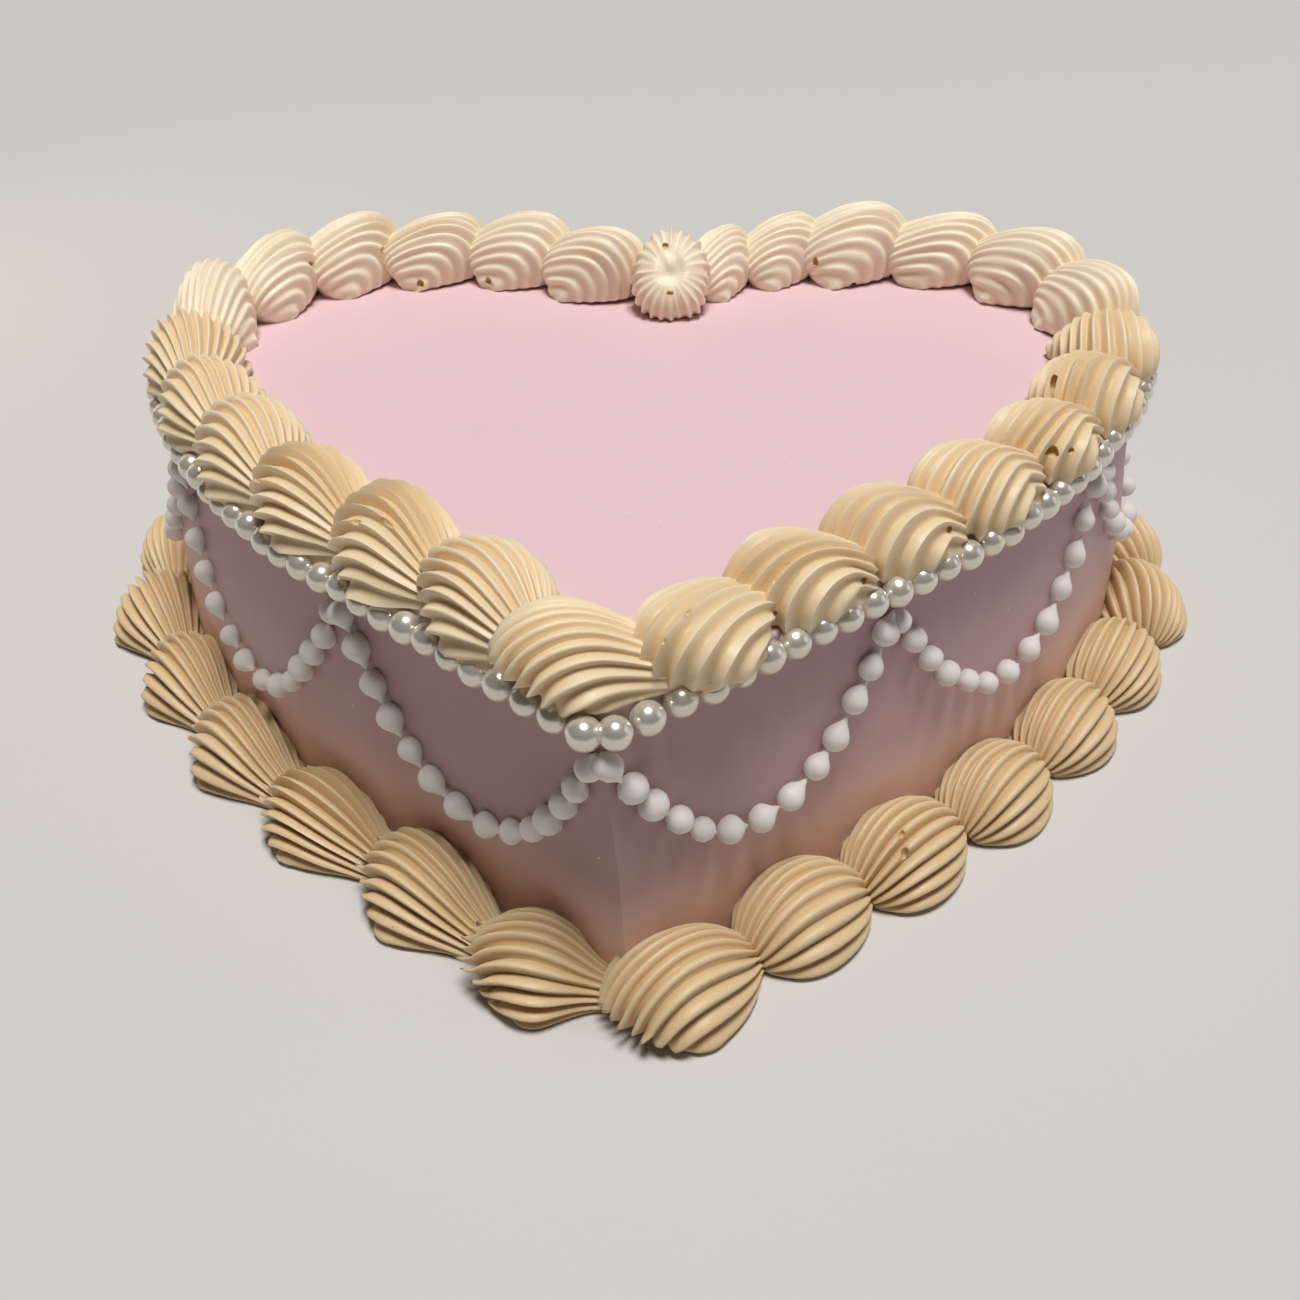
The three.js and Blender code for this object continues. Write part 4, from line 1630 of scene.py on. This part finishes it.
@dataclass
class ShellBorder:
    """A border of piped shells along the heart.

    A border at the foot has level 0. own_reach and the form's tail are what a shell spans undrawn, in half
    widths, and most_pushed is how far it may be pushed together. unevenness gives how many waves there are,
    and the finest, in the crests' wandering, in their ripple and in how one differs from another. slant and
    skew are the most to either side. Shells sink into what they stand on, and below it only a small share of
    them is left. The lengths after that are in millimetres: a skirt begins to hang at edge_start inside the
    edge, fully so edge_width further out, and fades with height by skirt_fade. Past tuck it is pushed back
    behind the pearls, fully so tuck_height below the edge. foot_pinch is a share, over pinch_height.
    """

    name: str
    outline: HeartOutline
    inset: float
    level: float
    runs: tuple[Run, ...]
    material: bpy.types.Material
    slot: str
    seed: int
    end: tuple[float, float] | None = None
    sizes: tuple[float, float] = (0.96, 1.035)
    own_reach: float = 1.35
    most_pushed: float = -0.08
    unevenness: tuple[tuple[int, float], ...] = ((6, 0.13), (7, 0.45), (9, 0.62))
    wander: float = 0.11
    swell: float = 0.04
    ripple: float = 0.027
    crest_change: float = 0.07
    settled_ridges: float = 1.8
    slant: float = 0.07
    skew: float = 0.05
    sink: float = 0.6
    below: float = 0.15
    edge_start: float = 1.5
    edge_width: float = 5.0
    skirt_fade: float = 3.0
    tuck: float = 3.5
    tuck_height: float = 2.0
    foot_pinch: float = 0.16
    pinch_height: float = 1.5
    ground_gap: float = 0.02

    def spots(self, draw: random.Random) -> list[tuple[Run, np.ndarray, float]]:
        """Places every shell of the border.

        Args:
            draw: The seeded source of numbers.

        Returns:
            For each shell its run, its centre and its half width.
        """
        found = []
        for run in self.runs:
            for step in range(run.count):
                spot = self.outline.spot(self.inset, run.first + step * run.pitch)
                centre = spot.point + spot.out * run.shift
                centre[0] = self.outline.flared_x(centre[0], min(self.level, self.outline.height))
                found.append((run, centre, run.half_width * draw.uniform(*self.sizes)))
        return found

    def pipe(self) -> None:
        """Pipes the whole border, a piece for each CAD shell."""
        draw = random.Random(self.seed)
        forms = {run.form.name: run.form for run in self.runs}
        masters = {name: form.model() for name, form in forms.items()}
        spots = self.spots(draw)
        for order, (run, centre, half_width) in enumerate(spots):
            if order + 1 < len(spots):
                ahead = spots[order + 1][1]
            else:
                ahead = np.array(self.end) if self.end else spots[0][1]
            master = masters[run.form.name]
            name = f"{self.name}_{order + 1:02d}"
            values = self.laid(master.data, run, centre, half_width, ahead, draw)
            shell = copied(f"{name}_cream", master, values)
            shade_smooth(shell, 180)
            open_holes(shell, name)
            keep(shell, f"{name}_cream", self.material, [name])
        for master in masters.values():
            bpy.data.objects.remove(master)

    def laid(
        self,
        mesh: bpy.types.Mesh,
        run: Run,
        centre: np.ndarray,
        half_width: float,
        ahead: np.ndarray,
        draw: random.Random,
    ) -> np.ndarray:
        """Lays a master shell at its place, drawn out to the next one, with its own unevenness.

        Args:
            mesh: The master's mesh.
            run: The shell's run.
            centre: Its centre.
            half_width: Its half width.
            ahead: The next shell's centre.
            draw: The seeded source of numbers.

        Returns:
            The vertex places in the shared frame.
        """
        way = ahead - centre
        length = float(np.linalg.norm(way))
        drawn = max((length / half_width - self.own_reach) - run.form.tail, self.most_pushed)
        x, y, z = self.worked(mesh, run.form, draw)
        y = y + draw.uniform(-self.slant, self.slant) * z + draw.uniform(-self.skew, self.skew) * x
        x = x + drawn * point_values(mesh, "moved")
        x = np.where(x < 0, x * (0.5 + 0.5 * run.rise), x)
        values = np.column_stack([x, y, z * run.rise]) * half_width
        values[:, 2] = np.where(values[:, 2] < 0, values[:, 2] * self.below, values[:, 2]) - self.sink
        if self.level:
            self.hang_skirt(values, run)
        else:
            self.seat(values)
        ahead_way = way / length
        left = np.array([-ahead_way[1], ahead_way[0]])
        flat = centre + np.outer(values[:, 0], ahead_way) + np.outer(values[:, 1], left)
        return self.outline.placed(np.column_stack([flat, values[:, 2] + self.level]))

    def worked(self, mesh: bpy.types.Mesh, form: ShellForm, draw: random.Random) -> tuple[np.ndarray, ...]:
        """Works a master uneven: wandering crests, a torn head, and outer ridges that sag by the tail.

        Args:
            mesh: The master's mesh.
            form: The shell's form.
            draw: The seeded source of numbers.

        Returns:
            The x, y and z of its vertices, in half widths.
        """
        x, y, z = places(mesh).T
        turn, ring, foot, lean, ridge, lift = (
            point_values(mesh, name) for name in ("turn", "arch", "foot", "lean", "ridge", "lift")
        )
        up = (foot - x) * np.cos(lean) + (z - lift) * np.sin(lean)
        off = (x - foot) * np.sin(lean) + (z - lift) * np.cos(lean)
        angle, reach = np.arctan2(up, -y), np.hypot(up, y)
        broad, fine, single = (Unevenness(draw, waves, finest) for waves, finest in self.unevenness)
        angle = angle + self.wander * broad.at(turn, ring * 0.8) * np.clip(reach, 0, 1)
        reach = reach * (
            1
            + self.swell * broad.at(ring, turn)
            + self.ripple * fine.at(turn, ring * 0.5)
            + self.crest_change * (ridge - form.painted_light_share - 0.5) * single.at(turn, ring * 0.22)
        )
        reach = reach * (1 + form.shoulder * np.where(angle < math.pi / 2, np.sin(2 * angle) ** 2, 0))
        up, y = reach * np.sin(angle), -reach * np.cos(angle)
        x = foot - up * np.cos(lean) + off * np.sin(lean)
        z = lift + up * np.sin(lean) + off * np.cos(lean)
        for from_end, share in ((turn, form.settled), (form.ridges - 1 - turn, 1.0)):
            z = z - share * lift * (1 - eased(from_end / self.settled_ridges))
        torn = np.clip(1 - ring, 0, 1) * np.clip(turn - form.ragged_from, 0, 1) * (ridge - form.painted_light_share)
        torn = form.ragged * torn * (0.6 + 0.8 * single.at(turn * 1.7, 0.3))
        torn = torn * (0.6 + 1.2 * turn / form.ridges)
        return x - torn, y, z + 0.5 * torn * np.clip(z, 0, 1)

    def hang_skirt(self, values: np.ndarray, run: Run) -> None:
        """Lets the outer side of a shell hang past the top edge and tucks it behind the pearls.

        Args:
            values: The shell's places in millimetres, along, inward and up from the level. They are changed.
            run: The shell's run.
        """
        past = eased((-values[:, 1] - self.inset + self.edge_start) / self.edge_width)
        low = np.exp(-np.maximum(values[:, 2], 0) / self.skirt_fade)
        values[:, 2] -= run.skirt * past * low
        past_edge = run.shift - self.inset - values[:, 1]
        values[:, 1] += np.maximum(past_edge - self.tuck, 0) * np.clip(-values[:, 2] / self.tuck_height, 0, 1)

    def seat(self, values: np.ndarray) -> None:
        """Draws the underside of a foot shell in and sets it on the table.

        Args:
            values: The shell's places in millimetres, along, inward and up. They are changed.
        """
        under = np.clip(1 - values[:, 2] / self.pinch_height, 0, 1)
        values[:, 1] *= 1 - self.foot_pinch * under
        values[:, 2] = np.maximum(values[:, 2], self.ground_gap)


@dataclass
class CleftRosette:
    """The star of cream at the cleft that ends the top border.

    x, y and radius are in millimetres, in the heart's own frame, and the other lengths in radii. lift is the
    height of its middle, tilt how far it is tipped forward, crown and apron how much further its back and
    front reach, and smear how far out its blurred middle goes. rings gives height, radius and how far a
    valley reaches of what a ridge does. half_down is the ridge value on a flank, and half_depth how deep
    the flank lies, as a share of a valley's depth.
    """

    outline: HeartOutline
    x: float = 6.5
    y: float = 65.0
    radius: float = 11.6
    ridges: int = 24
    lift: float = 0.72
    tilt: float = math.radians(44)
    crown: float = 0.34
    apron: float = 0.12
    smear: float = 0.5
    swell: float = 0.08
    fluting: float = 3.1
    blob: float = 0.26
    # The ridge value that the blurred middle is evened out to, so it shows neither the crests' painted
    # highlight nor the valleys' painted shade.
    paleness: float = 0.8
    flattened: float = 0.05
    half_down: float = 0.3
    half_depth: float = 0.72
    button: float = 0.4
    button_rise: float = 0.04
    rings: tuple[tuple[float, float, float], ...] = (
        (-0.80, 0.50, 0.92),
        (-0.52, 0.84, 0.89),
        (-0.22, 1.01, 0.87),
        (0.04, 1.08, 0.86),
        (0.26, 1.03, 0.87),
        (0.44, 0.89, 0.88),
        (0.55, 0.72, 0.89),
        (0.60, 0.54, 0.91),
        (0.61, 0.36, 0.95),
        (0.57, 0.20, 1.00),
    )

    def model(self) -> bpy.types.Object:
        """Pipes the rosette: a fluted ring raised and drawn in, then tipped toward the front.

        Returns:
            The finished rosette.
        """
        deselect()
        around = ARCH_STEPS * self.ridges
        bpy.ops.mesh.primitive_circle_add(vertices=around, radius=1, fill_type="NGON")
        rosette = bpy.context.object
        self.mark_ridges(rosette, edit(rosette), around)
        before = (self.rings[0][0], 1.0, 1.0)
        bpy.ops.transform.translate(value=(0, 0, self.rings[0][0]))
        for order, ring in enumerate(self.rings):
            if order:
                bpy.ops.mesh.extrude_region_move()
            size = ring[1] / before[1]
            bpy.ops.transform.resize(value=(size, size, 1), center_override=(0, 0, 0))
            bpy.ops.transform.translate(value=(0, 0, ring[0] - before[0]))
            mesh = bmesh.from_edit_mesh(rosette.data)
            for vertex in mesh.verts:
                if vertex.select:
                    vertex[mesh.verts.layers.float["arch"]] = order
            bmesh.update_edit_mesh(rosette.data)
            for ridge, depth in ((0.0, 1.0), (self.half_down, self.half_depth)):
                press = (1 - depth * (1 - ring[2])) / (1 - depth * (1 - before[2]))
                self.select_level(rosette, order, ridge)
                bpy.ops.transform.resize(value=(press, press, 1), center_override=(0, 0, 0))
            self.select_level(rosette, order)
            before = ring
        bpy.ops.mesh.extrude_region_move()
        bpy.ops.transform.resize(value=(self.button, self.button, 1), center_override=(0, 0, 0))
        bpy.ops.transform.translate(value=(0, 0, self.button_rise))
        face_outward()
        bpy.ops.object.mode_set(mode="OBJECT")
        apply_modifier(rosette, "SUBSURF", levels=1, render_levels=1)
        self.lay(rosette.data)
        shade_smooth(rosette, 180)
        return rosette

    def mark_ridges(self, rosette: bpy.types.Object, mesh: bmesh.types.BMesh, around: int) -> None:
        """Writes on the first ring which ridge a vertex belongs to and how high on it.

        Args:
            rosette: The rosette in edit mode.
            mesh: Its edit mesh.
            around: How many vertices the ring has.
        """
        for layer in ("ridge", "turn", "arch"):
            mesh.verts.layers.float.new(layer)
        ridge_layer, turn_layer = (mesh.verts.layers.float[name] for name in ("ridge", "turn"))
        start = math.atan2(mesh.verts[:][0].co.y, mesh.verts[:][0].co.x)
        for vertex in mesh.verts:
            turn = (math.atan2(vertex.co.y, vertex.co.x) - start) % math.tau
            place = round(turn / (math.tau / around)) % ARCH_STEPS
            vertex[turn_layer] = turn / (math.tau / self.ridges)
            # Crests get 1 and valleys 0, which the material paints as highlight and shade.
            vertex[ridge_layer] = {0: 1.0, 2: 0.0}.get(place, self.half_down)
        bmesh.update_edit_mesh(rosette.data)

    @staticmethod
    def select_level(rosette: bpy.types.Object, order: int, ridge: float | None = None) -> None:
        """Selects one ring, or only its vertices of one height on the ridge.

        Args:
            rosette: The rosette in edit mode.
            order: The ring's number.
            ridge: The height on the ridge, or None for all.
        """
        layers = bmesh.from_edit_mesh(rosette.data).verts.layers.float
        level, height = layers["arch"], layers["ridge"]
        select_where(
            rosette,
            lambda v: abs(v[level] - order) < CLOSE and (ridge is None or abs(v[height] - ridge) < CLOSE),
        )

    def lay(self, mesh: bpy.types.Mesh) -> None:
        """Tips the rosette toward the front, roughens it and sets it down on the cake.

        Args:
            mesh: Its mesh, one unit in radius.
        """
        values = places(mesh)
        ridge = point_values(mesh, "ridge")
        turn = np.arctan2(values[:, 1], values[:, 0])
        across, along = np.cos(turn), np.sin(turn)
        ripple = Unevenness(random.Random(31), waves=6, finest=0.9)
        from_middle = np.hypot(values[:, 0], values[:, 1])
        swell = self.swell * ripple.at(across, along)
        swell = swell + self.swell * ridge * ripple.at(self.fluting * across, self.fluting * along)
        values = values * (1 + swell * np.clip(from_middle / 0.8, 0, 1) ** 2)[:, None]
        middle = np.clip(1 - from_middle / self.smear, 0, 1)
        blurred = Unevenness(random.Random(37), waves=8, finest=2.2).at(values[:, 0], values[:, 1])
        values[:, 2] += self.blob * blurred * middle
        # The ridge values are raised by 1 as painted light over the whole rosette and pick the cream's
        # painted highlight and shade. The blurred middle is evened out to paleness.
        shown = 1.0 + ridge + (self.paleness - ridge) * np.clip(middle * 3, 0, 1)
        mesh.attributes["ridge"].data.foreach_set("value", shown)
        values[:, 1] *= np.where(values[:, 1] > 0, 1 + self.crown, 1 + self.apron)
        values = values @ np.array(Matrix.Rotation(self.tilt, 3, "X")).T * self.radius
        values[:, 2] += self.lift * self.radius
        values[values[:, 2] < 0, 2] *= self.flattened
        values[:, 2] = np.maximum(values[:, 2], 0) + self.outline.height
        values[:, 0] += self.x
        values[:, 1] += self.y
        set_places(mesh, self.outline.placed(values))


# The studio


class Lamp(Enum):
    """The soft lamps: kind, place, what they face, size, power and colour.

    The ceiling's size is the angle it is seen under, in degrees, and its power is in watts on a square metre.
    """

    CEILING = ("SUN", (0.08, -0.07, 1.0), (0.0, 0.0, 0.0), 22.0, 3.05, "fffefc")
    RIGHT = ("AREA", (1.0, 0.05, 0.4), (0.0, 0.0, 0.05), 0.6, 0.7, "f4f4ff")
    LEFT = ("AREA", (-0.45, 0.27, 0.22), (0.0, 0.0, 0.03), 0.3, 0.19, "ffe4cc")


@dataclass
class Studio:
    """Plain pale floor, soft light, and the camera. The camera's place is in millimetres."""

    eye: tuple[float, float, float] = (30.1521, -345.4808, 264.2543)
    ahead: tuple[float, float, float] = (-0.0586137, 0.8046353, -0.5908693)
    up: tuple[float, float, float] = (-0.0075311, 0.5915137, 0.8062598)
    picture_size: float = 1300.0
    focal_pixels: float = 1500.0
    sensor: float = 36.0
    sight: tuple[float, float] = (0.01, 50.0)
    floor_size: float = 6.0
    floor_drop: float = 0.01
    room_light: str = "fff2e6"
    room_strength: float = 0.05

    def build(self) -> None:
        """Lays the floor and sets the lamps, the room's light and the camera."""
        deselect()
        bpy.ops.mesh.primitive_plane_add(size=self.floor_size, location=(0, 0, 0))
        floor = bpy.context.object
        floor.name = "studio_floor"
        floor.data.transform(Matrix.Translation((0, 0, -self.floor_drop * MM)))
        floor.data.materials.append(PaintedFloor().make())
        for lamp in Lamp:
            self.hang(lamp)
        world = bpy.data.worlds.new("studio")
        world.use_nodes = True
        room = world.node_tree.nodes["Background"]
        room.inputs["Color"].default_value = linear(self.room_light)
        room.inputs["Strength"].default_value = self.room_strength
        bpy.context.scene.world = world
        bpy.context.scene.view_settings.view_transform = "Standard"
        self.set_camera()

    def hang(self, lamp: Lamp) -> None:
        """Hangs one soft lamp.

        Args:
            lamp: Which one.
        """
        kind, place, target, size, power, colour = lamp.value
        data = bpy.data.lights.new(lamp.name.lower(), kind)
        if kind == "SUN":
            data.angle = math.radians(size)
        else:
            data.shape = "DISK"
            data.size = size
        data.energy = power
        data.color = linear(colour)[:3]
        light = bpy.data.objects.new(data.name, data)
        light.location = place
        light.rotation_euler = (Vector(target) - Vector(place)).to_track_quat("-Z", "Y").to_euler()
        bpy.context.scene.collection.objects.link(light)

    def set_camera(self) -> None:
        """Puts the camera where the picture was taken from."""
        data = bpy.data.cameras.new("camera")
        data.type = "PERSP"
        data.sensor_width = self.sensor
        data.lens = self.focal_pixels / self.picture_size * self.sensor
        data.clip_start, data.clip_end = self.sight
        camera = bpy.data.objects.new("camera", data)
        ahead, up = Vector(self.ahead), Vector(self.up)
        right = ahead.cross(up).normalized()
        turned = Matrix((right, up, -ahead)).transposed()
        camera.matrix_world = Matrix.Translation(Vector(self.eye) * MM) @ turned.to_4x4()
        bpy.context.scene.collection.objects.link(camera)
        bpy.context.scene.camera = camera


def main() -> None:
    """Builds the cake and the studio in order."""
    logging.basicConfig(level=logging.INFO, format="%(message)s")
    outline = HeartOutline()
    icing = SmoothedIcing().make()
    # Each cream's crest colour is painted highlight and its valley colour painted shade.
    top_cream = PipedButtercream("pale piped buttercream", "f2dfc1", "dfc294").make()
    foot_cream = PipedButtercream("warm piped buttercream", "dbc39c", "caa87b", grain_height=0.17).make()
    keep(IcedHeart(outline).model(), "iced_heart", icing, ["cake_body"])
    keep(PearlRow(outline).model(), "pearls", PearlLustre().make(), ["cake_body"])
    keep(BeadSwags(outline).model(), "swag_beads", MattWhiteIcing().make(), ["cake_body"])
    top = ShellBorder(
        "top_shell",
        outline,
        inset=8.5,
        level=outline.height + 0.3,
        runs=(
            Run(-352.5, 6, 27.0, 0.0, 12.1, 1.2, WAVED),
            Run(-190.6, 6, 31.2, 0.0, 14.4, 0.96, CURLED, 2.0),
            Run(-8.0, 1, 0.0, 3.0, 14.6, 0.78, TRAILING),
            Run(20.0, 1, 0.0, 3.5, 14.0, 0.8, HUMPED),
            Run(45.6, 6, 28.9, 0.0, 13.9, 0.9, DRAPED),
            Run(219.0, 4, 28.4, 0.0, 12.8, 1.14, WAVED),
            Run(327.0, 2, 21.5, 0.0, 10.0, 1.3, WAVED),
        ),
        material=top_cream,
        slot="top_cream",
        seed=41,
        end=(6.5, 65.0),
    )
    top.pipe()
    foot = ShellBorder(
        "foot_shell",
        outline,
        inset=-9.2,
        level=0.0,
        runs=(
            Run(-398.0, 11, 37.2, 0.0, 14.6, 0.92, FANNED),
            Run(14.6, 1, 0.0, -1.0, 14.2, 0.98, SPREAD),
            Run(50.4, 12, 33.6, 0.0, 13.9, 0.96, ROUNDED),
        ),
        material=foot_cream,
        slot="foot_cream",
        seed=43,
    )
    foot.pipe()
    rosette = CleftRosette(outline).model()
    open_holes(rosette, "rosette")
    keep(rosette, "rosette_cream", top_cream, ["rosette"])
    Studio().build()


if __name__ == "__main__":
    main()
